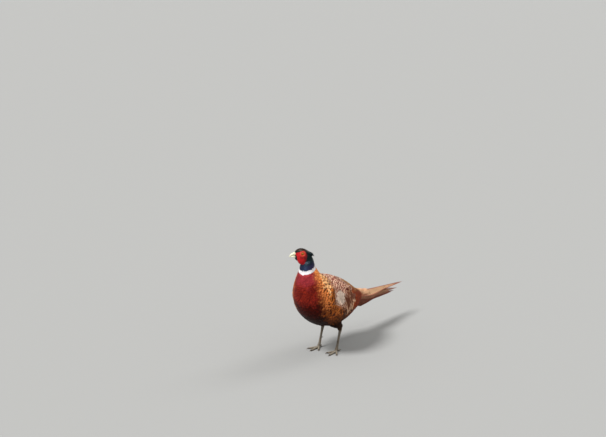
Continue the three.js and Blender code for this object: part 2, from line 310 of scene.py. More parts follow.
def eased(points, quads, share, rounds):
    """The points moved towards the middle of their neighbours, each by its own share."""
    a = quads.ravel()
    b = np.roll(quads, 1, axis=1).ravel()
    ends, others = np.concatenate([a, b]), np.concatenate([b, a])
    count = np.bincount(ends, minlength=len(points))[:, None]
    for _ in range(rounds):
        middle = np.stack([np.bincount(ends, points[others, k], len(points)) for k in range(3)], -1) / count
        points = points + (middle - points) * share[:, None]
    return points


def along(steps):
    """Shares of a feather's length, closer together towards its tip."""
    return 1 - (1 - np.linspace(0, 1, steps + 1)) ** 1.5


class Hull:
    """A surface that feathers are laid on."""

    def __init__(self, points, quads):
        self.points, self.quads = points, quads
        self.normals = normals_of(points, quads)
        self.tree = BVHTree.FromPolygons(points.tolist(), quads.tolist())

    def snap(self, points, normals=None, reach=0.0):
        """The nearest points of the surface and its normals; beyond reach, the given ones stay."""
        found = [self.tree.find_nearest(p) for p in points.reshape(-1, 3).tolist()]
        place = np.array([f[0] for f in found])
        quad = self.quads[np.array([f[2] for f in found])]
        weight = 1 / (np.linalg.norm(self.points[quad] - place[:, None], axis=2) + 0.05)
        normal = unit((self.normals[quad] * weight[..., None]).sum(1))
        place, normal = place.reshape(points.shape), normal.reshape(points.shape)
        if normals is not None:
            near = (np.linalg.norm(place - points, axis=-1) < reach)[..., None]
            place, normal = np.where(near, place, points), np.where(near, normal, normals)
        return place, normal

    def walk(self, root, heading, length, steps):
        """Lines over the surface from root along heading; they run on straight where the surface ends."""
        u = along(steps)
        place, normal = self.snap(root)
        ahead = unit(heading - normal * (heading * normal).sum(-1, keepdims=True))
        rows = [(place, ahead, normal)]
        for part in np.diff(u):
            step = np.max(length) * part
            place, normal = self.snap(place + ahead * (length * part)[:, None], normal, 0.5 * step)
            ahead = unit(ahead - normal * (ahead * normal).sum(-1, keepdims=True))
            rows.append((place, ahead, normal))
        return (*(np.stack(each, 1) for each in zip(*rows)), u)


# Feathers

# how feathers are cut: outline, columns across, how far the tip lifts, how far the vane curves down to its
# sides and how ragged its edges are, both as shares of its half width
CUTS = {
    "body": ("round", 6, 0.2, 0.05, 0.24),
    "loose": ("hair", 2, 0.5, 0.05, 0.4),
    "thigh": ("hair", 2, 0.5, 0.05, 0.3),
    "neck": ("round", 2, 0.15, 0.08, 0.15),
    "tuft": ("hair", 2, 0.0, 0.2, 0.2),
    "covert": ("round", 4, 0.25, 0.05, 0.12),
    "hanging": ("long", 6, 0.5, 0.08, 0.1),
    "secondary": ("blunt", 6, 0.4, 0.04, 0.05),
    "primary": ("quill", 6, 0.8, 0.05, 0.04),
    "tail": ("blade", 8, 0.0, 0.03, 0.05),
}
# where the round kinds begin to turn in towards their tips
TURN_IN = {"round": 0.45, "long": 0.6, "blunt": 0.85}
BOW = 0.15
HULL_REACH = 2.5
TUFT_PATCH = (0.003, 0.003)
LOOK_FIELDS = {
    "core": "FLOAT_COLOR",
    "band": "FLOAT_COLOR",
    "rim": "FLOAT_COLOR",
    "spot": "FLOAT_COLOR",
    "marks": "FLOAT_VECTOR",
}


def outline(u, kind):
    """A vane's share of its half width along its length, from root to tip."""
    root = np.clip(u / 0.3, 0, 1) ** 0.6
    if kind == "hair":
        return (0.3 + 0.7 * root) * (1 - 0.93 * smooth(0.3, 1.05, u))
    if kind == "quill":
        return (0.4 + 0.6 * root) * (1 - 0.93 * smooth(0.3, 1.02, u) ** 1.15)
    if kind == "blade":
        swell = 0.72 + 0.28 * np.sin(np.pi * np.minimum(1, 1.7 * u))
        return swell * (1 - 0.96 * np.clip((u - 0.3) / 0.7, 0, 1) ** 1.35)
    start = TURN_IN[kind]
    return (0.35 + 0.65 * root) * np.sqrt(1 - 0.96 * np.clip((u - start) / (1 - start), 0, 1) ** 2)


class Look:
    """The colours and markings of some feathers: core, band, rim and a dark spot at the tip."""

    def __init__(self, *fields):
        self.fields = {key: np.atleast_2d(np.asarray(f, float)) for key, f in zip(LOOK_FIELDS, fields)}

    def over(self, n, size):
        return [np.repeat(np.broadcast_to(f, (n, 3)), size, 0) for f in self.fields.values()]

    def of(self, chosen):
        return Look(*(f[chosen] for f in self.fields.values()))


class Coat(Joined):
    """A joined mesh of many feathers, each a thin closed vane."""

    def add(self, cut, line, half, look, places, hull=None, depth=0.0, raised=0.0, patch=TUFT_PATCH):
        """Adds a feather for each line. Places are the lower corners of their patches on the bake's map."""
        kind, across, lift, camber, ragged = CUTS[cut]
        centre, ahead, normal, u = line
        n, rows = centre.shape[:2]
        cols = across + 1
        v = np.linspace(-1, 1, cols)
        half, depth, raised = (np.broadcast_to(x, (n,))[:, None] for x in (half, depth, raised))
        side = unit(np.cross(normal, ahead))
        jag = 1 + ragged * (rng.random((n, rows, 2)) - 0.6)
        wide = outline(u, kind)[None, :, None] * jag * half[..., None]
        reach = np.where(v < 0, wide[..., :1], wide[..., 1:]) * v
        pull = BOW * (v**2)[None, None] * (u**4)[None, :, None] * half[..., None]
        pull = pull + 2 * ragged * half[..., None] * (rng.random((n, 1, cols)) - 0.3) * (u**6)[None, :, None]
        points = centre[:, :, None] + side[:, :, None] * reach[..., None]
        points = points - ahead[:, :, None] * pull[..., None]
        up = np.broadcast_to(normal[:, :, None], points.shape)
        if hull is not None:
            points, up = hull.snap(points, up, HULL_REACH)
        height = raised - depth * (1 - u) ** 1.35 + lift * u**3 + (rng.random((n, 1)) - 0.5) * 0.25 * depth
        height = height[:, :, None] - half[..., None] * (camber * v**2)
        points = points + up * height[..., None]
        # the upper face is a grid of quads, and the lower one a strip of them with fans at its ends
        grid = np.arange(rows * cols).reshape(rows, cols)
        quads = np.stack([grid[:-1, :-1], grid[:-1, 1:], grid[1:, 1:], grid[1:, :-1]], -1).reshape(-1, 4)
        left, right = grid[:, 0], grid[:, -1]
        quads = np.concatenate([quads, np.stack([left[:-1], left[1:], right[1:], right[:-1]], -1)])
        ends = [[grid[0, 0], grid[0, k + 1], grid[0, k]] for k in range(1, across)]
        ends += [[grid[-1, 0], grid[-1, k], grid[-1, k + 1]] for k in range(1, across)]
        edge = np.zeros((rows, cols), bool)
        edge[[0, -1]] = True
        edge[:, [0, -1]] = True
        uu, vv = np.broadcast_arrays(u[:, None], v[None, :])
        size = rows * cols
        shift = (np.arange(n) * size)[:, None, None]
        vane = np.tile(np.stack([uu, vv], -1).reshape(-1, 2), (n, 1))
        vane = np.concatenate([vane, np.repeat(rng.random(n), size)[:, None]], 1)
        own = np.stack([uu, 0.5 + 0.5 * vv], -1).reshape(-1, 2) * patch
        super().add(
            points.reshape(-1, 3),
            (quads[None] + shift).reshape(-1, 4),
            (np.array(ends)[None] + shift).reshape(-1, 3),
            np.tile(edge.ravel(), n),
            vane,
            (np.asarray(places)[:, None] + own).reshape(-1, 2),
            *look.over(n, size),
        )

    def build(self, name, material, slot, *nodes):
        points, quads, caps, edge, vane, place, *looks = self.joined()
        ob = made(name, points, [quads, caps], [material])
        attribute(ob, "vane", "FLOAT_VECTOR", vane)
        for (key, kind), values in zip(LOOK_FIELDS.items(), looks):
            attribute(ob, key, kind, values)
        mesh = ob.data
        sharp = mesh.attributes.new("sharp_edge", "BOOLEAN", "EDGE")
        sharp.data.foreach_set("value", edge[read(mesh.edges, "vertices", 2, np.int32)].all(1))
        corner = read(mesh.loops, "vertex_index", 1, np.int32)[:, 0]
        spot = np.clip(place[corner], 0, 1)
        mesh.uv_layers.new(name="OFBake").data.foreach_set("uv", spot.astype(np.float32).ravel())
        part_of(ob, slot, *nodes)


# Markings of the body, shared by the skin and the coat

BLACK = (16, 11, 14)
DARK = (38, 18, 12)
CREAM = (246, 202, 172)
# stations, degrees from the back as fronted() counts them, core, band, rim, spot,
# widths of rim, band and spot, and (length, half width, spacing, depth)
ROUND_TRACTS = [
    # below the ring the breast is purplish maroon, and its pink-mauve is partly a painted purple sheen
    ((9.9, 12), (120, 300), (170, 58, 60), BLACK, (116, 30, 46), BLACK, (0.2, 0, 0), (13, 4.8, 4.2, 1.8)),
    ((9.9, 12), (-1, 120), (250, 156, 84), BLACK, (196, 96, 50), BLACK, (0.2, 0, 0.12), (14, 5.2, 4.8, 1.8)),
    ((8.3, 9.9), (120, 300), (138, 40, 26), BLACK, (76, 14, 20), BLACK, (0.2, 0, 0), (18, 6.6, 5.8, 2.2)),
    # the lower breast darkens downwards, partly its own deep maroon and partly painted shade of the underside
    ((7.3, 8.3), (120, 300), (78, 21, 13), BLACK, (38, 8, 8), BLACK, (0.2, 0, 0), (18, 7, 6.2, 2.2)),
    ((6.0, 7.3), (120, 300), (38, 13, 7), BLACK, (19, 6, 5), BLACK, (0.2, 0, 0), (20, 7.5, 6.6, 2.3)),
    ((7.3, 9.9), (85, 120), (250, 150, 80), BLACK, (166, 74, 38), DARK, (0.17, 0, 0.33), (21, 7.8, 7.2, 2.3)),
    ((7.4, 9.9), (-1, 85), (255, 196, 132), BLACK, (228, 138, 84), DARK, (0.18, 0, 0.32), (22, 8.2, 7.8, 2.3)),
    ((5.9, 7.3), (85, 120), (176, 92, 38), BLACK, (78, 34, 14), DARK, (0.17, 0, 0.36), (24, 8.6, 8.2, 2.5)),
    ((5.4, 7.4), (-1, 70), (84, 30, 26), CREAM, (140, 56, 42), DARK, (0.27, 0.34, 0), (32, 11.5, 11.0, 2.8)),
    ((4.4, 5.4), (-1, 70), (78, 30, 20), CREAM, (112, 46, 30), DARK, (0.26, 0.24, 0), (32, 11.5, 11.0, 2.8)),
    ((4.5, 5.9), (66, 120), (122, 66, 28), BLACK, (56, 25, 11), DARK, (0.17, 0, 0.38), (28, 10, 9.2, 2.8)),
]
# stations, degrees, core, rim and size of the loose feathers
LOOSE_TRACTS = [
    # the belly's own black-brown, darkened further with painted shade of the underside
    ((1.5, 6.0), (120, 300), (28, 12, 7), (15, 7, 6), (28, 7, 6.8, 2.8)),
    ((1.8, 4.5), (-1, 50), (204, 162, 96), (138, 84, 44), (36, 5, 5.8, 2.8)),
    ((1.8, 4.5), (50, 120), (160, 64, 28), (88, 30, 12), (36, 5, 6.0, 2.8)),
    ((-0.4, 1.5), (120, 300), (60, 28, 16), (36, 17, 10), (30, 6, 6.8, 2.8)),
    ((-2.0, 1.8), (-1, 80), (250, 210, 168), (206, 146, 108), (36, 4.5, 5.4, 2.4)),
    ((-2.0, 1.8), (80, 120), (220, 150, 116), (160, 92, 66), (36, 5, 6.0, 2.4)),
]
LOOSE_MARKS = (0.4, 0, 0)
TRACTS = ROUND_TRACTS + [
    (stations, degrees, core, BLACK, rim, BLACK, LOOSE_MARKS, size)
    for stations, degrees, core, rim, size in LOOSE_TRACTS
]
TRACT_FIELDS = [np.array(each) for each in zip(*TRACTS)]
TRACT_STATIONS, TRACT_DEGREES, *TRACT_COLOURS, TRACT_MARKS, TRACT_SIZES = TRACT_FIELDS
RING_CORE = linear((240, 236, 236))
RING_RIM = linear((220, 214, 218))
STATION_BLEND = 0.35
DEGREE_BLEND = 9.0
FRONT = 120
FRONT_BLEND = 20.0
# degrees from the back where the dark front and belly begin, at some stations
FRONT_EDGE = ([0, 2, 4, 6, 7, 8, 9.4, 10.5, 11.6], [126, 130, 136, 141, 134, 118, 109, 102, 98])


def fronted(station, degrees):
    """Degrees counted so that the dark front and belly begin at FRONT everywhere."""
    return degrees + (FRONT - np.interp(station, *FRONT_EDGE)) * smooth(40, 90, degrees)


def tract_shares(station, degrees):
    """How much each tract has a say at these places."""
    degrees = fronted(station, degrees)
    shares = []
    e = STATION_BLEND
    for (s0, s1), (d0, d1) in zip(TRACT_STATIONS, TRACT_DEGREES):
        low, high = (FRONT_BLEND if edge == FRONT else DEGREE_BLEND for edge in (d0, d1))
        length = window(station, s0 - e, s0 + e, s1 - e, s1 + e)
        shares.append(length * window(degrees, d0 - low, d0 + low, d1 - high, d1 + high) + 1e-6)
    shares = np.stack(shares, -1)
    return shares / shares.sum(-1, keepdims=True)


def body_look(station, angle):
    """Looks, feather sizes and tract shares at places of the body."""
    shares = tract_shares(station, from_back(angle))
    look = Look(*(shares @ linear(colours) for colours in TRACT_COLOURS), shares @ TRACT_MARKS)
    return look, shares @ TRACT_SIZES, shares


# Materials from nodes


class Value:
    """A node's output, which adds, subtracts, multiplies and divides by more nodes."""

    def __init__(self, nodes, socket):
        self.nodes, self.socket = nodes, socket

    def __add__(self, other):
        return self.nodes.math("ADD", self, other)

    def __sub__(self, other):
        return self.nodes.math("SUBTRACT", self, other)

    def __rsub__(self, other):
        return self.nodes.math("SUBTRACT", other, self)

    def __mul__(self, other):
        return self.nodes.math("MULTIPLY", self, other)

    def __truediv__(self, other):
        return self.nodes.math("DIVIDE", self, other)

    def __abs__(self):
        return self.nodes.math("ABSOLUTE", self)


class Nodes:
    """Builds a material's node tree."""

    def __init__(self, name):
        self.material = bpy.data.materials.new(name)
        self.material.use_nodes = True
        self.tree = self.material.node_tree
        self.shader = self.tree.nodes["Principled BSDF"]

    def feed(self, socket, value):
        """Links a value or sets a constant; three numbers are a colour as seen on a screen."""
        if isinstance(value, Value):
            self.tree.links.new(value.socket, socket)
        elif isinstance(value, tuple) and len(value) == 3:
            socket.default_value = (*linear(value), 1.0)
        else:
            socket.default_value = value

    def new(self, kind, inputs, **settings):
        """All outputs of a new node."""
        node = self.tree.nodes.new(kind)
        for key, value in settings.items():
            setattr(node, key, value)
        for key, value in inputs.items():
            self.feed(node.inputs[key], value)
        return {key: Value(self, out) for i, out in enumerate(node.outputs) for key in (i, out.name)}

    def math(self, operation, a, b=0.0):
        return self.new("ShaderNodeMath", {0: a, 1: b}, operation=operation)[0]

    def ease(self, value, low, high, to_low=0.0, to_high=1.0):
        """A smooth step of value from low to high."""
        inputs = {"Value": value, "From Min": low, "From Max": high, "To Min": to_low, "To Max": to_high}
        return self.new("ShaderNodeMapRange", inputs, interpolation_type="SMOOTHSTEP")[0]

    def mix(self, share, a, b, blend="MIX"):
        inputs = {"Factor": share, 6: a, 7: b}
        return self.new("ShaderNodeMix", inputs, data_type="RGBA", blend_type=blend)[2]

    def colour(self, name):
        return self.new("ShaderNodeAttribute", {}, attribute_name=name)["Color"]

    def parts(self, name):
        """The three numbers of a vector attribute."""
        vector = self.new("ShaderNodeAttribute", {}, attribute_name=name)["Vector"]
        split = self.new("ShaderNodeSeparateXYZ", {0: vector})
        return split[0], split[1], split[2]

    def joined(self, x, y, z=0.0):
        return self.new("ShaderNodeCombineXYZ", {0: x, 1: y, 2: z})[0]

    def place(self):
        return self.new("ShaderNodeTexCoord", {})["Object"]

    def noise(self, scale, detail=3.0, place=None):
        inputs = {"Vector": place or self.place(), "Scale": scale, "Detail": detail}
        return self.new("ShaderNodeTexNoise", inputs)["Fac"]

    def bump(self, height, strength, distance):
        return self.new("ShaderNodeBump", {"Height": height, "Strength": strength, "Distance": distance})[0]

    def set(self, **values):
        for key, value in values.items():
            self.feed(self.shader.inputs[key.replace("_", " ")], value)
        return self.material


def plumage(name, barbs=26.0, bars=0.0, bar_width=0.25, gloss=0.55, metal=0.12, level=0.04):
    """Feathers with a band, a rim, a dark tip and bars, placed by each vane's own length and width."""
    n = Nodes(name)
    u, v, seed = n.parts("vane")
    rim_width, band_width, spot_size = n.parts("marks")
    side = abs(v)
    over = n.math("MAXIMUM", u - 0.45, 0.0) / 0.55
    wobble = (n.noise(420.0, 2.0) - 0.5) * 0.22
    # the band, then the rim outside it with a thin dark line between them
    reach = n.math("SQRT", side * side + over * over) + wobble
    start = 1.0 - rim_width
    band_start = start - band_width
    banded = n.ease(reach, band_start - 0.06, band_start) * n.ease(band_width, 0.02, 0.1)
    colour = n.mix(banded, n.colour("core"), n.colour("band"))
    edge_line = n.ease(abs(reach - start), 0.09, 0.02) * n.ease(band_width, 0.02, 0.14, 0.0, 0.85)
    colour = n.mix(n.ease(reach, start, start + 0.12), colour, n.colour("rim"))
    colour = n.mix(edge_line, colour, n.colour("spot"))
    # the spot at the tip
    down = 1.0 - u
    away = n.math("SQRT", down * down + side * side * 0.22) + wobble
    spotted = n.ease(away, spot_size, spot_size * 0.6) * n.ease(spot_size, 0.02, 0.1)
    colour = n.mix(spotted, colour, n.colour("spot"))
    if bars:
        wave = u * bars + side * 1.6 + wobble * 4.0
        band = n.ease(n.math("SINE", wave), 1.0 - 2.0 * bar_width, 1.15 - 2.0 * bar_width)
        colour = n.mix(band * n.ease(side, 1.0, 0.8, 0.75, 1.0), colour, n.colour("spot"))
    # light and dark from the barbs, the shaft, each feather's own tone and wide and fine patches
    barb = n.math("SINE", (u - side * 0.3) * (barbs * 6.28))
    shaft = n.ease(side, 0.1, 0.03)
    tone = barb * 0.07 + (seed - 0.5) * 0.22 + (n.noise(38.0) - 0.5) * 0.9 + (n.noise(260.0) - 0.5) * 0.4
    tone = tone + 1.0 - shaft * 0.16
    colour = n.mix(1.0, colour, n.joined(tone, tone, tone), "MULTIPLY")
    bump = n.bump(barb * 0.5 + shaft, 0.3, 0.0002)
    return n.set(Base_Color=colour, Roughness=gloss, Metallic=metal, Specular_IOR_Level=level, Normal=bump)


def skin_material():
    """The skin between the feathers, in the coat's own colours but darker."""
    n = Nodes("skin")
    fine = n.noise(900.0, 4.0)
    colour = n.mix(0.45, n.colour("core"), n.colour("rim"))
    colour = n.mix(n.ease(fine, 0.35, 0.65, 0.25, 0.6), colour, (12, 8, 8))
    return n.set(Base_Color=colour, Roughness=0.8, Specular_IOR_Level=0.2, Normal=n.bump(fine, 0.5, 0.0006))


def wattle_material():
    """Bare red skin with small raised grains, which fades into the dark skin under the feathers."""
    n = Nodes("wattle")
    place = n.place()
    grain = n.new("ShaderNodeTexVoronoi", {"Vector": place, "Scale": 900.0}, feature="SMOOTH_F1")["Distance"]
    colour = n.mix(n.ease(grain, 0.25, 0.75), (206, 26, 24), (104, 6, 12))
    colour = n.mix(n.ease(n.noise(120.0, 3.0, place), 0.35, 0.7), colour, (168, 14, 26))
    bared, dusky, eye_ring = n.parts("vane")
    colour = n.mix(dusky * 0.9, colour, (86, 8, 20))
    colour = n.mix(eye_ring * 0.5, colour, (226, 86, 58))
    colour = n.mix(n.ease(bared, 0.35, 0.55), n.colour("rim"), colour)
    bump = n.bump(1.0 - grain, 0.8, 0.0005)
    soft = {"Subsurface_Weight": 0.12, "Subsurface_Scale": 0.002}
    return n.set(Base_Color=colour, Roughness=0.5, Specular_IOR_Level=0.2, Normal=bump, **soft)


def horn_material(name, pale, deep, dark_end):
    """Horn that runs from deep at the root to pale, with fine streaks along it."""
    n = Nodes(name)
    u, v, hole = n.parts("vane")
    streak = n.noise(1.0, 4.0, n.joined(u * 4.0, v * 60.0))
    colour = n.mix(n.ease(u, 0.0, 0.5), deep, pale)
    colour = n.mix(n.ease(u, 0.75, 1.0, 0.0, dark_end), colour, (70, 58, 44))
    colour = n.mix(n.ease(streak, 0.4, 0.7, 0.0, 0.35), colour, deep)
    colour = n.mix(n.ease(n.noise(700.0, 3.0), 0.55, 0.75, 0.0, 0.25), colour, (120, 104, 78))
    # painted shade in the nostril's hole
    colour = n.mix(n.ease(hole, 0.35, 0.8), colour, (44, 28, 22))
    return n.set(Base_Color=colour, Roughness=0.35, Coat_Weight=0.2, Normal=n.bump(streak, 0.25, 0.0003))


def leg_material():
    """Dry grey-brown scales, paler on the plates and dark in the creases."""
    n = Nodes("leg")
    _, plate, _ = n.parts("vane")
    fine = n.noise(1500.0, 4.0)
    colour = n.mix(n.ease(plate, 0.15, 0.7), (66, 56, 46), (148, 138, 122))
    colour = n.mix(n.ease(n.noise(90.0, 2.0), 0.4, 0.65, 0.0, 0.4), colour, (124, 104, 78))
    colour = n.mix(n.ease(fine, 0.5, 0.75, 0.0, 0.3), colour, (92, 82, 70))
    return n.set(Base_Color=colour, Roughness=0.55, Normal=n.bump(fine, 0.3, 0.0003))


def eye_material():
    """An amber iris round a black pupil, drawn by the angle from the eye's axis."""
    n = Nodes("eye")
    out, ring, _ = n.parts("vane")
    fibre = n.noise(1.0, 5.0, n.joined(ring * 14.0, out * 3.0))
    iris = n.mix(n.ease(fibre, 0.3, 0.7), (236, 168, 60), (168, 84, 18))
    iris = n.mix(n.ease(out, 0.62, 0.8), iris, (60, 26, 12))
    colour = n.mix(n.ease(out, 0.34, 0.38), (6, 5, 6), iris)
    return n.set(Base_Color=colour, Roughness=0.07, Specular_IOR_Level=0.25)


breast_feather = plumage("breast_feather", gloss=0.45, metal=0.3)
body_feather = plumage("body_feather")
soft_feather = plumage("soft_feather", barbs=14.0, gloss=0.65, metal=0.05)
neck_feather = plumage("neck_feather", barbs=10.0, gloss=0.36, metal=0.5, level=0.3)
wing_feather = plumage("wing_feather", barbs=70.0, bars=50.0, bar_width=0.16)
tail_feather = plumage("tail_feather", barbs=200.0, bars=170.0, bar_width=0.14)
skin = skin_material()
wattle = wattle_material()
bill_horn = horn_material("bill_horn", (238, 236, 208), (196, 186, 142), 0.0)
claw_horn = horn_material("claw_horn", (92, 78, 62), (60, 50, 42), 0.6)
leg_scales = leg_material()
eye_gloss = eye_material()


# Legs

FOOT_SPREAD = 40
FOOT_FORWARD = -34
STRIDE = 8
# outwards, forward and up from the foot, and radius
THIGH = [[-8, 30, 137, 30], [-5, 12, 117, 25], [-1, -9, 100, 17], [0, -25, 87, 10.5]]
SHANK = [
    [0, -27, 88, 6.6], [0, -27, 77, 6.4], [0, -20, 58, 4.4],
    [0, -10, 32, 4.1], [0, -3, 14, 5.2], [0, 1, 7, 6.2],
]
SPUR = [[0, -7, 34, 3.4], [-1.5, -12, 34, 2.6], [-3, -17, 34.8, 1.6], [-4.5, -21, 36.5, 0.3]]
# name, bearing outwards from straight ahead, length, radius, height of the root, rise of the middle
TOES = [
    ("inner", -27, 36, 3.4, 6, 0),
    ("middle", 2, 50, 3.7, 6, 0),
    ("outer", 31, 40, 3.3, 6, 0),
    ("hind", 172, 17, 2.7, 10, 3.4),
]
TOE_RADII = np.array([1.15, 1.1, 1.0, 0.86])
TOE_FLOOR = 0.02
HIND_FLOOR = 0.35
CLAW_LENGTH = 11
CLAW_RADII = np.array([0.72, 0.62, 0.36, 0.1])
CLAW_FLOOR = 0.4
SCUTE_LENGTH = 3.2
SHANK_SCUTES = 17
LEG_NODES = [f"{part}_{name}" for name, _ in SIDES for part in ["shank"] + [f"toe_{toe[0]}" for toe in TOES]]
CLAW_NODES = [f"{part}_{name}" for name, _ in SIDES for part in ["spur"] + [f"claw_{toe[0]}" for toe in TOES]]


def by_foot(side, path):
    """Points of the bird from places outwards, forward and up from the foot of a side."""
    foot = at(side * FOOT_SPREAD, FOOT_FORWARD + side * STRIDE, 0)
    return foot + at(*(np.array(path, float)[:, :3] * [side, 1, 1]).T)


def limb(path, radii, around, rows, plates=None, floor=None):
    """A tube along a smooth path; plates(share along, angle) gives how far its scales stand out."""
    t = np.linspace(0, 1, rows + 1)
    place = t * (len(path) - 1)
    centre = through(np.asarray(path, float), place)
    ahead = unit(np.gradient(centre, axis=0))
    level = np.array([0.0, 1.0, 0.0]) if abs(ahead[0, 2]) > 0.7 else np.array([0.0, 0.0, 1.0])
    side = unit(np.cross(ahead, level))
    top = np.cross(side, ahead)
    angle = turns(around)
    stand = np.zeros((rows + 1, around)) if plates is None else plates(t[:, None], angle[None, :])
    radius = through(radii, place)[:, None] * (0.93 + 0.09 * stand)
    grid = centre[:, None] + side[:, None] * (np.sin(angle) * radius)[..., None]
    grid = grid + top[:, None] * (np.cos(angle) * radius)[..., None]
    if floor is not None:
        grid[..., 2] = np.maximum(grid[..., 2], floor)
    share = np.broadcast_to(t[:, None], stand.shape)
    vane = np.stack([share, stand, np.zeros_like(stand)], -1).reshape(-1, 3)
    return *ringed(grid), np.concatenate([vane, [[0, 0.5, 0], [1, 0.5, 0]]])


def scutes(count, split=False):
    """Overlapping plates over the top of a toe or the front of a shank, with small round scales beneath."""

    def stand(t, angle):
        facing = smooth(-0.1, 0.35, np.cos(angle))
        saw = (t * count + 0.5 * split * (np.sin(angle) > 0)) % 1.0
        plate = smooth(0.0, 0.18, saw) * (1 - 0.35 * saw)
        halves = smooth(0.0, 0.16, np.abs(np.sin(angle))) if split else 1.0
        small = 0.5 + 0.5 * np.sin(t * count * 2.2 * 6.28) * np.sin(angle * 7)
        return facing * plate * halves + (1 - facing) * small * 0.7

    return stand


def make_legs():
    """The bare shanks and toes, and apart from them the claws and spurs."""
    scaly, horny = Joined(), Joined()
    for _, side in SIDES:
        scaly.add(*limb(by_foot(side, SHANK), [p[3] for p in SHANK], 32, 110, scutes(SHANK_SCUTES, True)))
        for _, bearing, length, radius, start, raised in TOES:
            turn = math.radians(bearing)
            path = [
                (-1, start),
                (length * 0.3, radius * 0.92 + raised),
                (length * 0.65, radius * 0.82 + raised * 0.6),
                (length, radius * 0.74 + raised * 0.3),
            ]
            tip = path[-1][1]
            claw = [
                (length - 2.5, tip + 0.2),
                (length + CLAW_LENGTH * 0.35, tip + 1.1),
                (length + CLAW_LENGTH * 0.7, tip + 0.5),
                (length + CLAW_LENGTH, 0.9),
            ]
            path, claw = (
                by_foot(side, [[d * math.sin(turn), d * math.cos(turn), up] for d, up in line])
                for line in (path, claw)
            )
            floor = HIND_FLOOR if raised else TOE_FLOOR
            knuckles = scutes(round(length / SCUTE_LENGTH))
            scaly.add(*limb(path, TOE_RADII * radius, 22, int(length * 1.8), knuckles, floor))
            horny.add(*limb(claw, CLAW_RADII * radius, 14, 14, None, CLAW_FLOOR))
        horny.add(*limb(by_foot(side, SPUR), [p[3] for p in SPUR], 16, 16))
    return scaly, horny


# The skin

FLESH = ["trunk", "neck", "wing_left", "wing_right", "thigh_left", "thigh_right"]
TAIL = ["tail_centre_left", "tail_centre_right", "tail_side_left", "tail_side_right"]
FACE = ["head", "wattle_left", "wattle_right"]
BODY_VOXEL = 2.4
SKIN_VOXEL = 3.1
FACE_VOXEL = 0.9
NAPE_ROUNDS = 180
CUFF_ENDS = (-10, 0, 8, 15)
CUFF_RADII = [11, 10.3, 8.6, 7.4]
TAPER_END = 1.5
# an eyelid's section: distance along the eye's axis, and from it
LID_PROFILE = [
    (2.9, 4.9), (3.7, 5.0), (4.3, 5.4), (4.3, 6.0), (3.8, 6.7),
    (2.5, 7.5), (0.5, 7.5), (0.5, 5.9), (2.2, 5.2),
]
LID_AROUND = 28


def lids():
    """A rim of skin round each eye, closed down to the eye's visible size."""
    rims = []
    for _, side in SIDES:
        left, forward, up = EYE_PLACE
        axis = unit(TURN @ np.array([side, *EYE_AXIS]))
        profile = np.array(LID_PROFILE + LID_PROFILE[:1], float)
        round_it = spokes(turns(LID_AROUND), *square_to(axis))
        centre = from_head(at(side * left, forward, up))
        points, quads, _ = ringed(centre + profile[:, None, :1] * axis + profile[:, None, 1:] * round_it)
        rims.append((points, triangles(quads, np.empty((0, 3), int))))
    return rims


def bare(points):
    """How bare the face is, from 0 under feathers to 1 on the red skin, with a lobed edge."""
    left, forward, up = in_head(points)
    f, u = forward - WATTLE_PLACE[0], up - WATTLE_PLACE[1]
    lengthwise = f * math.cos(WATTLE_LEAN) + u * math.sin(WATTLE_LEAN)
    high = -f * math.sin(WATTLE_LEAN) + u * math.cos(WATTLE_LEAN)
    turn = np.arctan2(high, lengthwise)
    lobes = 1.03 + 0.03 * np.sin(3 * turn + 0.6) + 0.018 * np.sin(7 * turn + 2) + 0.012 * np.sin(13 * turn)
    reach = np.hypot(lengthwise / WATTLE_REACH[0], high / WATTLE_REACH[1]) / lobes
    lore = np.hypot((forward - LORE_PLACE[0]) / LORE_REACH[0], (up - LORE_PLACE[1]) / LORE_REACH[1])
    beside = smooth(5.5, 8.0, np.abs(left) + 0.25 * np.maximum(forward - 22, 0))
    return (1 - smooth(0.94, 1.03, np.minimum(reach, lore))) * beside


def thigh_cuffs():
    """A short taper under each thigh, so that its feathers have something to lie on over the shank's top."""
    cuffs = []
    for _, side in SIDES:
        end = by_foot(side, THIGH)[-1]
        way = unit(at(0, 0.3, -1.0))
        points, quads, caps, _ = limb([end + way * d for d in CUFF_ENDS], CUFF_RADII, 20, 12)
        cuffs.append((points, triangles(quads, caps)))
    return cuffs


def rump_taper():
    """The shape under the tail's coverts, from the rump to a little way down the tail."""
    station = np.linspace(FIRST_STATION, TAPER_END, 30)[:, None]
    points, quads, caps = ringed(body(*np.broadcast_arrays(station, turns(36))))
    return [(points, triangles(quads, caps))]


def head_shape():
    """Head, wattles, lids and neck as one surface, with the step between head and neck smoothed away."""
    points, quads = melted(FACE + ["neck"], FACE_VOXEL, 2, lids())
    _, forward, up = in_head(points)
    share = 0.5 * (1 - bare(points)) * np.maximum(smooth(-15, -24, up), smooth(0, -9, forward))
    return eased(points, quads, share, NAPE_ROUNDS), quads


def shrunk_body():
    """The flesh without its coat: the body's solids melted together and drawn in by the coat's depth."""
    points, quads = melted(FLESH, SKIN_VOXEL, 8, thigh_cuffs())
    up = points[:, 2]
    depth = 3.4 - 1.6 * smooth(100, 84, up) - 1.4 * smooth(300, 330, up)
    return points - normals_of(points, quads) * depth[:, None], quads


body_hull = Hull(*melted(FLESH, BODY_VOXEL, 12, thigh_cuffs() + rump_taper()))
head_hull = Hull(*head_shape())
PLACES = [grid.ravel() for grid in np.meshgrid(np.linspace(-1.5, 12.9, 90), turns(72), indexing="ij")]
place_tree = KDTree(len(PLACES[0]))
for index, point in enumerate(body(*PLACES).tolist()):
    place_tree.insert(point, index)
place_tree.balance()


def body_place(points):
    """The station and angle of the body nearest to these points."""
    nearest = np.array([place_tree.find(p)[1] for p in points.tolist()])
    return [values[nearest] for values in PLACES]


RING_LOW = 11.12
RING_HIGH = 11.6


def ring_place(station, angle):
    """The station as the white ring counts it, since the ring lies a little higher behind than in front."""
    return station - 0.25 * np.abs(angle - np.pi) / np.pi


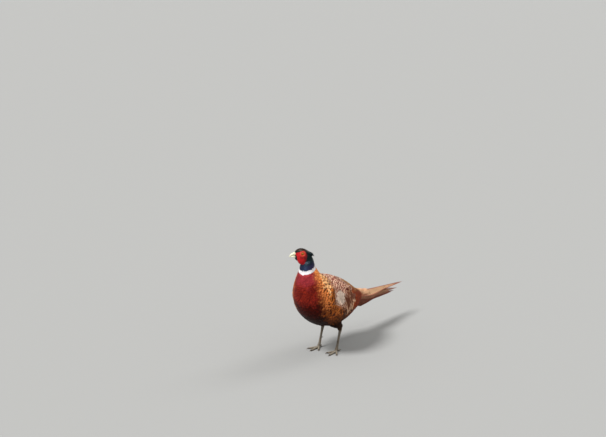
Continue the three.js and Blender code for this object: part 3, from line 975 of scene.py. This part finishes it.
def head_colours(points):
    """The head's and neck's looks, the body's places nearest to them, and how white each is."""
    left, forward, up = in_head(points)
    station, angle = body_place(points)
    low = smooth(13.2, 11.9, station) * smooth(-12, -26, up)
    flank = smooth(0.3, 0.9, np.abs(np.sin(angle))) * low
    crown = smooth(7, 14, up) * (1 - smooth(8, 14, np.abs(left)))
    throat = smooth(-10, -18, up) * smooth(14, 20, forward)
    core = linear((11, 34, 36)) * np.ones((len(points), 1))
    # the blue low on the neck and the purple at its sides, on the feathers and their rims, are partly the
    # neck's own hues and partly a painted iridescent sheen placed by position
    tints = (
        ((34, 48, 86), low),
        ((60, 34, 76), 0.6 * flank),
        ((62, 44, 32), 0.9 * crown),
        ((10, 16, 15), 0.7 * throat),
    )
    for colour, share in tints:
        core = blend(core, linear(colour), share[:, None])
    rim = blend(core * 0.5, linear((40, 56, 84)), (low * 0.3)[:, None])
    white = window(ring_place(station, angle), RING_LOW - 0.1, RING_LOW - 0.05, RING_HIGH, RING_HIGH + 0.05)
    white = white * smooth(-16, -22, up)
    core, rim = blend(core, RING_CORE, white[:, None]), blend(rim, RING_RIM, white[:, None])
    marks = np.array([[0.35, 0, 0]]) * np.ones((len(points), 1))
    return Look(core, core, rim, rim * 0.4, marks), station, angle, white


def make_skin():
    """One skin for all the flesh, and the claws and spurs that stand apart from it."""
    body_points, body_quads = shrunk_body()
    head_points, head_quads = head_hull.points, head_hull.quads
    looks = [body_look(*body_place(body_points))[0], head_colours(head_points)[0]]
    head_bare = bare(head_points)
    face = head_points - head_hull.normals * (1.3 * (1 - head_bare))[:, None]
    scaly, horny = make_legs()
    leg_points, leg_quads, leg_caps, leg_vane = scaly.joined()
    a, b = len(body_points), len(body_points) + len(face)
    points = np.concatenate([body_points, face, leg_points])
    quads = np.concatenate([body_quads, head_quads + a, leg_quads + b])
    _, forward, up = in_head(head_points)
    dusky = np.maximum(smooth(6, -7, forward), 0.8 * smooth(8, 15, up))
    eye_ring = 1 - smooth(7.5, 11.5, np.hypot(forward - EYE_PLACE[1], up - EYE_PLACE[2]))
    red = head_bare[head_quads].mean(1) > 0.15
    material = np.concatenate([np.zeros(len(body_quads)), red, np.full(len(leg_quads) + len(leg_caps), 2)])
    ob = made("skin", points, [quads, leg_caps + b], [skin, wattle, leg_scales], material)
    plain = np.full((len(leg_points), 3), 0.2)
    for key in ("core", "rim"):
        attribute(ob, key, "FLOAT_COLOR", np.concatenate([*(look.fields[key] for look in looks), plain]))
    face_vane = np.stack([head_bare, dusky, eye_ring], 1)
    attribute(ob, "vane", "FLOAT_VECTOR", np.concatenate([np.zeros((a, 3)), face_vane, leg_vane]))
    part_of(ob, "body_feathers", *FLESH, *FACE, *LEG_NODES)
    points, quads, caps, vane = horny.joined()
    claws = made("claws", points, [quads, caps], [claw_horn])
    attribute(claws, "vane", "FLOAT_VECTOR", vane)
    part_of(claws, "claw_horn", *CLAW_NODES)


# The body's coat

PACKING = 0.86
BODY_TRIES = 260000
MAP_EDGE = 0.01
MAP_SPAN = 0.98


def spread(points, gaps, cell):
    """The indices of points that each keep their own gap to the ones before."""
    bins, kept = {}, []
    keys = np.floor(points / cell).astype(int).tolist()
    around = [(x, y, z) for x in (-1, 0, 1) for y in (-1, 0, 1) for z in (-1, 0, 1)]
    for i, (x, y, z) in enumerate(keys):
        near = [j for dx, dy, dz in around for j in bins.get((x + dx, y + dy, z + dz), ())]
        if near and (((points[near] - points[i]) ** 2).sum(1) < gaps[i] ** 2).any():
            continue
        bins.setdefault((x, y, z), []).append(i)
        kept.append(i)
    return np.array(kept)


def scattered(count, station_range):
    """Stations and angles spread over the body as closely as its tracts ask."""
    s = rng.uniform(*station_range, count)
    a = rng.uniform(0, FULL_TURN, count)
    e = 0.02
    area = np.linalg.norm(np.cross(body(s + e, a) - body(s - e, a), body(s, a + e) - body(s, a - e)), axis=1)
    chosen = rng.random(count) < area / area.max()
    s, a = s[chosen], a[chosen]
    gaps = body_look(s, a)[1][:, 2] * PACKING
    kept = spread(body(s, a), gaps, gaps.max())
    return s[kept], a[kept]


def bake_spot(station, angle):
    """Places on the bake's map for places of the body, by the turn round it and the station."""
    return MAP_EDGE + MAP_SPAN * np.stack([angle / FULL_TURN, (station + 2) / 15.5], -1)


def head_spot(points):
    """Places on the bake's map for points of the head, by the turn round it and the distance along it."""
    left, forward, up = in_head(points)
    turn = np.arctan2(left, up + 8) / FULL_TURN + 0.5
    return MAP_EDGE + MAP_SPAN * np.stack([turn, np.clip((forward + 45) / 90, 0, 1)], -1)


def wing_edges(station):
    """The folded wing's upper and lower edges at these stations, in degrees from the back."""
    return np.interp(station, WING_STATIONS, WING_UPPER), np.interp(station, WING_STATIONS, WING_LOWER)


def make_body_coat():
    """Feathers over the body, but for those that the folded wings hide."""
    s, a = scattered(BODY_TRIES, (-0.5, 11.4))
    degrees = from_back(a)
    upper, lower = wing_edges(s)
    share = (degrees - upper) / np.maximum(lower - upper, 8)
    under_wing = (share > 0.2) & (share < 0.75) & (s < 7.0) & (s > 4.4)
    kept = (ring_place(s, a) < RING_LOW) & ~under_wing
    s, a, degrees = s[kept], a[kept], degrees[kept]
    look, size, shares = body_look(s + rng.normal(0, 0.12, len(s)), a + rng.normal(0, 0.08, len(s)))
    look.fields["marks"][:, 1:] *= rng.uniform(0.6, 1.3, (len(s), 2))
    chance = rng.normal(0, 1, (len(s), 3))
    length, half = size[:, 0] * (1 + 0.1 * chance[:, 0]), size[:, 1] * (1 + 0.1 * chance[:, 1])
    root, heading = body(s, a), tailwards(s, a)
    side = unit(np.cross(root - body(s, a, -5.0), heading))
    heading = unit(heading + side * (0.1 * chance[:, 2])[:, None])
    over_wing = window(degrees, 28, 44, 66, 76) * window(s, 3.4, 4.2, 7.2, 7.8)
    over_quills = 2.4 * window(degrees, 48, 56, 106, 116) * window(s, 0.8, 1.8, 4.3, 4.8)
    raised = np.maximum(over_wing, over_quills)
    loose = shares[:, len(ROUND_TRACTS):].sum(1) > 0.5
    below = degrees > 84
    pieces = (
        ("coat_breast", ~loose & below & (s > 6.2), breast_feather, "body", 6),
        ("coat_mantle", ~loose & ~below, body_feather, "body", 6),
        ("coat_flank", ~loose & below & (s <= 6.2), body_feather, "body", 6),
        ("coat_rump", loose & (degrees < 110), soft_feather, "loose", 7),
        ("coat_belly", loose & (degrees >= 110), soft_feather, "loose", 7),
    )
    for name, chosen, material, cut, steps in pieces:
        coat = Coat()
        line = body_hull.walk(root[chosen], heading[chosen], length[chosen], steps)
        spot = bake_spot(s[chosen], a[chosen])
        coat.add(cut, line, half[chosen], look.of(chosen), spot, body_hull, size[chosen, 3], raised[chosen])
        coat.build(name, material, "body_feathers")


THIGH_TRIES = 2600
THIGH_GAP = 3.6


def make_thighs():
    """Small brown feathers down each thigh to the top of its shank."""
    coat = Coat()
    for _, side in SIDES:
        path = by_foot(side, THIGH)
        t, turn = rng.uniform(0.8, 3.05, THIGH_TRIES), rng.uniform(0, FULL_TURN, THIGH_TRIES)
        centre, ahead = through(path, t), unit(through(path, t + 0.05) - through(path, t - 0.05))
        first = unit(np.cross(ahead, [1.0, 0.0, 0.0]))
        spoke = spokes(turn, first, np.cross(ahead, first))
        root = centre + spoke * through([p[3] for p in THIGH], t)[:, None]
        kept = spread(root, np.full(THIGH_TRIES, THIGH_GAP), THIGH_GAP)
        root, ahead, t, turn = root[kept], ahead[kept] + spoke[kept] * 0.1, t[kept], turn[kept]
        line = body_hull.walk(root, ahead, 15.0 - 2.0 * (t - 1), 6)
        core = blend(linear((40, 19, 13)), linear((74, 52, 38)), smooth(1.0, 2.6, t)[:, None])
        look = Look(core, core, core * 0.55, core * 0.3, (0.35, 0, 0))
        place = np.stack([0.03 + 0.1 * turn / 6.3 + (0.5 if side > 0 else 0.0), 0.02 + 0.03 * t], -1)
        coat.add("thigh", line, 3.0, look, place, body_hull, 1.6)
    coat.build("coat_thighs", soft_feather, "body_feathers")


# Head, neck and ring

NECK_TRIES = 110000


def make_neck_coat():
    """Small feathers over head and neck, white ones in the ring, and rows of specks on the red face."""
    corners = head_hull.points[head_hull.quads]
    area = np.linalg.norm(np.cross(corners[:, 2] - corners[:, 0], corners[:, 3] - corners[:, 1]), axis=1)
    pick = rng.choice(len(corners), NECK_TRIES, p=area / area.sum())
    points = corners.mean(1)[pick] + rng.normal(0, 0.2, (len(pick), 3))
    look, station, angle, white = head_colours(points)
    left, forward, up = in_head(points)
    on_head = smooth(-32, -14, up)
    face = smooth(4, 24, forward) * on_head
    bareness = bare(points)
    row = up + 3.0 + 0.03 * (forward - 9) ** 2
    speckle = (np.abs(row - 2.0 * np.round(row / 2.0)) < 0.25) & (row < 0.6) & (row > -6.5)
    speckle = speckle & (np.abs(forward - 8) < 9.5) & (np.abs(left) > 10) & (bareness > 0.5)
    gape = 34 - 8 * np.exp(-(((up + 4.5) / 3.2) ** 2))
    grown = (bareness < 0.42) & (ring_place(station, angle) > RING_LOW) & (forward < gape)
    gaps = np.where(speckle, 1.3, 2.7 - 0.9 * on_head - 0.3 * face) * PACKING
    kept = np.flatnonzero(grown | speckle)
    kept = kept[spread(points[kept], gaps[kept], 2.8)]
    look = look.of(kept)
    points, station, angle, white, up = (x[kept] for x in (points, station, angle, white, up))
    on_head, face, speckle = on_head[kept], face[kept], speckle[kept]
    n = len(kept)
    back = TURN @ np.array([0.0, 1.0, 0.0])
    down = smooth(8, -16, up)[:, None] * np.array([0.0, 0.0, -0.9])
    on_face = unit(back * (1 - 0.35 * smooth(0, -25, up))[:, None] + down)
    on_neck = tailwards(np.clip(station, 10.5, 12.8), angle)
    heading = unit(blend(on_face, on_neck, smooth(-18, -34, up)[:, None])) + rng.normal(0, 0.09, (n, 3))
    length = (8.0 - 3.4 * on_head - 1.2 * face) * rng.normal(1, 0.09, n)
    half = (2.3 - 1.05 * on_head - 0.3 * face) * rng.normal(1, 0.09, n)
    length, half = np.where(speckle, 1.9, length), np.where(speckle, 0.36, half)
    length, half = np.where(white > 0.5, 8.5, length), np.where(white > 0.5, 2.9, half)
    line = head_hull.walk(points, heading, length, 4)
    spot = np.where((in_head(points)[2] < -30)[:, None], bake_spot(station, angle), head_spot(points))
    pieces = (("coat_ring", white > 0.5, soft_feather), ("coat_head", white <= 0.5, neck_feather))
    for name, chosen, material in pieces:
        coat = Coat()
        part = (*(x[chosen] for x in line[:3]), line[3])
        depth, raised = 0.5 * half[chosen], 0.5 * speckle[chosen]
        coat.add("neck", part, half[chosen], look.of(chosen), spot[chosen], head_hull, depth, raised)
        coat.build(name, material, "neck_feathers")


# Eyes and bill

EYE_ROWS = 40
EYE_AROUND = 48
# forward and up in the head's frame, from the root of the bill to its tip
CULMEN = [[26, 8], [35, 7.6], [43, 4.6], [50, -1], [54.5, -9]]
EDGE = [[25, -4.5], [34, -4], [42, -4.4], [49, -6.6], [53.8, -9.6]]
LOWER_EDGE = [[25, -5], [34, -4.5], [42, -4.9], [49, -7.1], [53, -10.1]]
CHIN = [[26, -11], [33, -11], [39, -10.8], [45, -10], [50, -9]]
BILL_WIDTH = [7.5, 6.6, 5, 3.2, 0.9]
BILL_ROWS = 41
BILL_AROUND = 36


def make_eyes():
    out, turn = np.linspace(0, np.pi, EYE_ROWS), turns(EYE_AROUND)
    bulge = EYE_RADIUS * (1 + 0.05 * np.exp(-((out / 0.5) ** 2)))
    left, forward, up = EYE_PLACE
    for name, side in SIDES:
        axis = unit(np.array([side, *EYE_AXIS]))
        round_it = spokes(turn, *square_to(axis))
        rings = np.cos(out)[:, None, None] * axis + np.sin(out)[:, None, None] * round_it
        points = from_head((at(side * left, forward, up) + rings * bulge[:, None, None]).reshape(-1, 3))
        ob = made(f"eye_{name}_ball", points, [tube_quads(EYE_ROWS, EYE_AROUND)], [eye_gloss])
        o, t = np.broadcast_arrays(out[:, None], turn[None])
        attribute(ob, "vane", "FLOAT_VECTOR", np.stack([o, np.abs(t - np.pi), 0 * o], -1).reshape(-1, 3))
        part_of(ob, "eye", f"eye_{name}")


def squarer(x):
    """A sine or cosine that stays longer near its ends."""
    return np.sign(x) * np.abs(x) ** 0.8


def mound(x, y, middle, reach):
    """1 at a middle and 0 well outside its reach."""
    return np.exp(-(((x - middle[0]) / reach[0]) ** 2 + ((y - middle[1]) / reach[1]) ** 2))


def make_bill():
    """The two halves of the bill, with a nostril under its horny flap on each side."""
    both = Joined()
    t, angle = np.linspace(0, 1, BILL_ROWS), turns(BILL_AROUND)
    for upper, lower, keep in ((CULMEN, EDGE, 1.0), (LOWER_EDGE, CHIN, 0.88)):
        place = t * (len(upper) - 1)
        high, low = through(upper, place)[:, None], through(lower, place)[:, None]
        share = 0.5 + 0.5 * squarer(np.cos(angle))
        wide = through(BILL_WIDTH, place)[:, None] * squarer(np.sin(angle)) * keep
        f, u = (low[..., k] + (high[..., k] - low[..., k]) * share for k in (0, 1))
        hole = 0 * f
        if upper is CULMEN:
            # the nostril's hole, dented in a little here and painted dark as its shade by the horn's material
            hole = mound(f, u, (37.5, 1.0), (2.6, 1.1))
            flap = mound(f, u, (36.5, 3.4), (3.6, 1.5))
            wide = wide * (1 + 0.12 * flap - 0.34 * hole)
            wide = wide * (1 + 0.06 * np.exp(-((share / 0.12) ** 2)))
        grid = from_head(at(wide, f, u).reshape(-1, 3)).reshape(BILL_ROWS, BILL_AROUND, 3)
        points, quads, caps = ringed(grid)
        tt, aa = np.broadcast_arrays(t[:, None], angle)
        vane = np.concatenate([np.stack([tt, np.cos(aa), hole], -1).reshape(-1, 3), [[0, 0, 0], [1, 0, 0]]])
        both.add(points, flipped(quads), flipped(caps), vane)
    points, quads, caps, vane = both.joined()
    ob = made("bill", points, [quads, caps], [bill_horn])
    attribute(ob, "vane", "FLOAT_VECTOR", vane)
    part_of(ob, "bill_horn", "bill_upper", "bill_lower")


# Ear tufts

TUFT_FEATHERS = 90
TUFT_SAG = -0.3


def straight(root, tip, normal):
    """Lines from root to tip that sag a little against their normal."""
    u = along(6)
    t = u[None, :, None]
    normal = unit(np.broadcast_to(normal, root.shape))
    centre = root[:, None] + (tip - root)[:, None] * t - normal[:, None] * (TUFT_SAG * 4 * t * (1 - t))
    ahead = unit(np.gradient(centre, axis=1))
    up = normal[:, None] - ahead * (normal[:, None] * ahead).sum(-1, keepdims=True)
    return centre, ahead, unit(up), u


def make_tufts():
    """The small pointed tuft of feathers behind each eye."""
    coat = Coat()
    for _, side in SIDES:
        fan = rng.normal(0, 1, (TUFT_FEATHERS, 3))
        root = from_head(at(side * (8.6 + fan[:, 0]), -8 + 3.2 * fan[:, 1], 6.6 + 1.2 * fan[:, 2]))
        tip = from_head(at(side * (9.8 + 0.9 * fan[:, 0]), -32.0, -4.0 + 1.3 * fan[:, 2]))
        tip = root + (tip - root) * rng.uniform(0.55, 1.0, TUFT_FEATHERS)[:, None]
        normal = TURN @ np.array([side * 0.6, 0, 1.0]) + rng.normal(0, 0.3, (TUFT_FEATHERS, 3))
        core = linear((14, 36, 42)) * np.ones((TUFT_FEATHERS, 1))
        look = Look(core, core, core * 0.5, core * 0.2, (0.3, 0, 0))
        coat.add("tuft", straight(root, tip, normal), 1.0, look, head_spot(root))
    coat.build("tufts", neck_feather, "neck_feathers", "ear_tuft_left", "ear_tuft_right")


# Wings

# station at the wing's lower edge, how far the upper end lies behind it, feathers, length, half width, depth
COVERT_ROWS = [(7.5 - 0.2 * k, 0.07 * k, 12, 18.0, 6.6, 1.6) for k in range(10)]
COVERT_ROWS += [(5.45 - 0.26 * k, 0.72 + 0.06 * k, 10, 25.0 + 3 * k, 8.5 + 0.5 * k, 1.9) for k in range(3)]
COVERT_ROWS += [(4.65, 0.9, 10, 38.0, 10.0, 2.2)]
HANGING = 13
SECONDARIES = 9
TERTIALS = 4
PRIMARIES = 7
QUILL_STEPS = 26
QUILL_STRIP = (0.95, 0.026)


def wing_line(side, station, share, length, steps, toe):
    """Lines over the folded wing from these places towards the tail, and the angles of their roots."""
    upper, lower = wing_edges(station)
    angle = side * np.radians(upper + (lower - upper) * share)
    heading = tailwards(station, angle)
    down = unit(body(station, angle + side * 0.02) - body(station, angle))
    heading = unit(heading + down * np.asarray(toe)[..., None])
    line = body_hull.walk(body(station, angle, 8.0), heading, np.broadcast_to(length, station.shape), steps)
    return line, np.mod(angle, FULL_TURN)


def covert_look(station, share):
    """Wing coverts: orange-brown in front, then a lavender-grey patch, and banded chestnut elsewhere."""
    grey = (1 - smooth(0.75, 1.15, np.hypot((share - 0.44) / 0.27, (station - 6.3) / 0.72)))[:, None]
    rear = 1 - smooth(4.8, 5.4, station)[:, None]
    low = smooth(0.66, 0.9, share) * smooth(5.0, 5.8, station)
    front = np.maximum(smooth(6.8, 7.2, station), low)[:, None]
    tone = rng.normal(1, 0.08, (len(station), 1))
    core = blend(linear((92, 38, 24)), linear((206, 116, 52)), front)
    rim = blend(linear((136, 54, 32)), linear((100, 44, 20)), front)
    rim = blend(rim, linear((206, 150, 108)), rear)
    core = blend(core, linear((228, 204, 186)), grey) * tone
    rim = blend(rim, linear((168, 142, 126)), grey) * tone
    plain = np.maximum(grey, front)
    band = 0.32 * (1 - rear) * (1 - plain) * rng.uniform(0.6, 1.3, plain.shape)
    marks = np.concatenate([0.26 - 0.08 * plain, band, 0.38 * front * (1 - grey)], 1)
    return Look(core, linear(CREAM), rim, linear(BLACK), marks)


def make_coverts(side):
    """The wing's coverts in rows, and the long ones that hang steeply over its rear."""
    coat = Coat()
    for station, slant, count, length, half, depth in COVERT_ROWS:
        share = np.linspace(0.02, 0.97, count) + rng.normal(0, 0.018, count)
        s = station - slant * (1 - share) + rng.normal(0, 0.02, count)
        line, angle = wing_line(side, s, share, length, 7, 0.12 - 0.3 * share)
        coat.add("covert", line, half, covert_look(s, share), bake_spot(s, angle), body_hull, depth, 0.5)
    k = np.linspace(0, 1, HANGING)
    s = 5.5 - 1.15 * k + rng.normal(0, 0.03, HANGING)
    length = (66 - 9 * k) * rng.normal(1, 0.12, HANGING)
    line, angle = wing_line(side, s, 0.42 - 0.24 * k, length, 20, 1.7)
    dark = linear((100, 52, 32)) * rng.normal(1, 0.14, (HANGING, 1))
    look = Look(dark, dark, linear((212, 166, 132)), dark, (0.27, 0, 0))
    coat.add("hanging", line, 7.8, look, bake_spot(s, angle), body_hull, 2.4, 2.4 - 1.2 * k)
    return coat


def make_quills(side):
    """The folded flight feathers: secondaries and tertials, then the primaries behind them."""
    coat = Coat()
    brown, buff, edge, bar = (linear(c) for c in ((96, 42, 20), (104, 50, 26), (128, 64, 34), (56, 25, 14)))
    for i in range(SECONDARIES + TERTIALS):
        k = i / (SECONDARIES + TERTIALS - 1)
        tertial = i >= SECONDARIES
        share = np.array([1.0 - 0.82 * k])
        station, toe = np.array([4.62 - 0.75 * k]), 0.12 - 0.34 * share
        line, _ = wing_line(side, station, share, 74 + 14 * k, QUILL_STEPS, toe)
        look = Look(brown if tertial else buff, buff, edge, bar, (0.14, 0, 0))
        half = 11.5 if tertial else 9.0
        place = [[0.02, 0.01 + 0.03 * i]]
        coat.add("secondary", line, half, look, place, body_hull, 2.6, 0.1 * i, QUILL_STRIP)
    look = Look(linear((120, 70, 44)), buff, linear((160, 106, 72)), linear((62, 34, 22)), (0.1, 0, 0))
    for i in range(PRIMARIES):
        share = np.array([0.92 - 0.09 * i])
        station, toe = np.array([2.85 - 0.02 * i]), 0.06 - 0.3 * share
        line, _ = wing_line(side, station, share, 52 + 5.0 * i, QUILL_STEPS, toe)
        place = [[0.02, 0.01 + 0.03 * (SECONDARIES + TERTIALS + i)]]
        coat.add("primary", line, 7.5, look, place, body_hull, 1.0, 0.6 + 0.1 * i, QUILL_STRIP)
    return coat


# Tail

TAIL_ROOT = at(0, -190, 172)
TAIL_DROOP = 6.3
TAIL_LENGTHS = [418, 352, 322, 280, 236, 192, 150]
TAIL_FEATHERS = 9
TAIL_STEPS = 80
TAIL_STRIP = (0.95, 0.045)
BLADE_HALF_WIDTH = 17
CENTRE_ROLL = 33
ROLL_STEP = 5
SIDE_DROOP = 3.2
DROOP_STEP = 0.5
SPLAY = 0.3
SPLAY_STEP = 0.75
BLADE_DROP = 3.0


def tail_line(side, index, length):
    """One long tail feather, lying where the frame's blade of that index lies."""
    t = np.linspace(0, 1, TAIL_STEPS + 1)
    extra = SIDE_DROOP + DROOP_STEP * (index - 1) if index >= 1 else SIDE_DROOP * index
    droop = math.radians(TAIL_DROOP + extra)
    yaw = -math.radians(SPLAY + SPLAY_STEP * index) * side
    roll = math.radians(CENTRE_ROLL + ROLL_STEP * index)
    half = BLADE_HALF_WIDTH * (0.72 + 0.28 * np.sin(np.pi * np.minimum(1, t * 1.7)))
    half = half * (1 - 0.93 * np.maximum(0, (t - 0.3) / 0.7) ** 1.35)
    drop = BLADE_DROP * index
    out = half * 0.93
    x = side * (out * math.cos(roll) + drop * 0.55)
    y = t * length
    z = -out * math.sin(roll) - drop * 0.83
    y, z = y * math.cos(droop) + z * math.sin(droop), -y * math.sin(droop) + z * math.cos(droop)
    x, y = x * math.cos(yaw) - y * math.sin(yaw), x * math.sin(yaw) + y * math.cos(yaw)
    centre = np.stack([x, y, z], -1) + TAIL_ROOT
    ahead = unit(np.gradient(centre, axis=0))
    normal = np.array([side * math.sin(roll), 0.0, math.cos(roll)])
    normal = normal - ahead * (normal * ahead).sum(-1, keepdims=True)
    return centre[None], ahead[None], unit(normal)[None], t


def make_tail():
    """Long barred feathers, the middle pair with a pale fringe and the ones below it chestnut and darker,
    partly with painted shade towards the tail's lower edge.
    """
    coat = Coat()
    for _, side in SIDES:
        for i in range(TAIL_FEATHERS):
            index = i * (len(TAIL_LENGTHS) - 1) / (TAIL_FEATHERS - 1)
            length = float(np.interp(index, range(len(TAIL_LENGTHS)), TAIL_LENGTHS)) - 1.0
            # each lower feather darker, partly its own chestnut and partly painted shade of the tail's lower
            # edge
            shade = 1 - 0.062 * i
            fringe = linear((168, 104, 82)) if i < 2 else linear((130, 64, 50)) * shade
            core, bar = linear((204, 160, 122)) * shade, linear((70, 40, 28))
            look = Look(core, linear(CREAM), fringe, bar, (0.32 - 0.01 * i, 0, 0))
            place = [[0.02, 0.5 + side * 0.48 * (i + 1) / TAIL_FEATHERS - (0.04 if side > 0 else 0)]]
            line = tail_line(side, index, length)
            coat.add("tail", line, BLADE_HALF_WIDTH, look, place, patch=TAIL_STRIP)
    coat.build("tail", tail_feather, "tail_feathers", *TAIL)


make_skin()
make_body_coat()
make_thighs()
make_neck_coat()
make_eyes()
make_bill()
make_tufts()
for wing, wing_side in SIDES:
    wing_coat, wing_quills = make_coverts(wing_side), make_quills(wing_side)
    wing_coat.build(f"coat_wing_{wing}", body_feather, "wing_feathers", f"wing_{wing}")
    wing_quills.build(f"quills_wing_{wing}", wing_feather, "wing_feathers", f"wing_tip_{wing}")
make_tail()


# Camera, light and floor, in metres and degrees

FOCAL_PIXELS = 1425.0
FRAME_WIDTH = 606.0
SENSOR = 36.0
CAMERA_PLACE = (2.4148, -4.1826 + ORIGIN[1] * MM, 1.4841)
CAMERA_TILT = 78.272
CAMERA_TURN = 30.831
FLOOR_REACH = 90.0
FLOOR_COLOUR = (0.351, 0.351, 0.343, 1)
SKY_COLOUR = (1.0, 1.0, 0.985, 1)
SKY_STRENGTH = 0.58
LIT = Vector((0, 0, 0.2))
# name, place, softness and power of each light
SUNS = (("key", (-0.7, -2.3, 3.2), 18, 3.3), ("back", (0.9, 2.4, 2.4), 25, 0.7))


def make_studio():
    scene = bpy.context.scene
    camera_data = bpy.data.cameras.new("camera")
    camera_data.sensor_width = SENSOR
    camera_data.lens = FOCAL_PIXELS / FRAME_WIDTH * SENSOR
    camera = bpy.data.objects.new("camera", camera_data)
    camera.location = CAMERA_PLACE
    camera.rotation_euler = (math.radians(CAMERA_TILT), 0, math.radians(CAMERA_TURN))
    bpy.context.collection.objects.link(camera)
    scene.camera = camera
    floor = bpy.data.meshes.new("floor")
    corners = [(x * FLOOR_REACH, y * FLOOR_REACH, 0) for x, y in ((-1, -1), (1, -1), (1, 1), (-1, 1))]
    floor.from_pydata(corners, [], [(0, 1, 2, 3)])
    floor.materials.append(Nodes("floor").set(Base_Color=FLOOR_COLOUR, Roughness=0.9))
    ground = bpy.data.objects.new("floor", floor)
    bpy.context.collection.objects.link(ground)
    for name, place, softness, power in SUNS:
        light = bpy.data.lights.new(name, "SUN")
        light.angle = math.radians(softness)
        light.energy = power
        lamp = bpy.data.objects.new(name, light)
        lamp.location = place
        lamp.rotation_euler = (LIT - Vector(place)).to_track_quat("-Z", "Y").to_euler()
        bpy.context.collection.objects.link(lamp)
    world = bpy.data.worlds.new("world")
    world.use_nodes = True
    world.node_tree.nodes["Background"].inputs["Color"].default_value = SKY_COLOUR
    world.node_tree.nodes["Background"].inputs["Strength"].default_value = SKY_STRENGTH
    scene.world = world
    scene.view_settings.view_transform = "Standard"


make_studio()
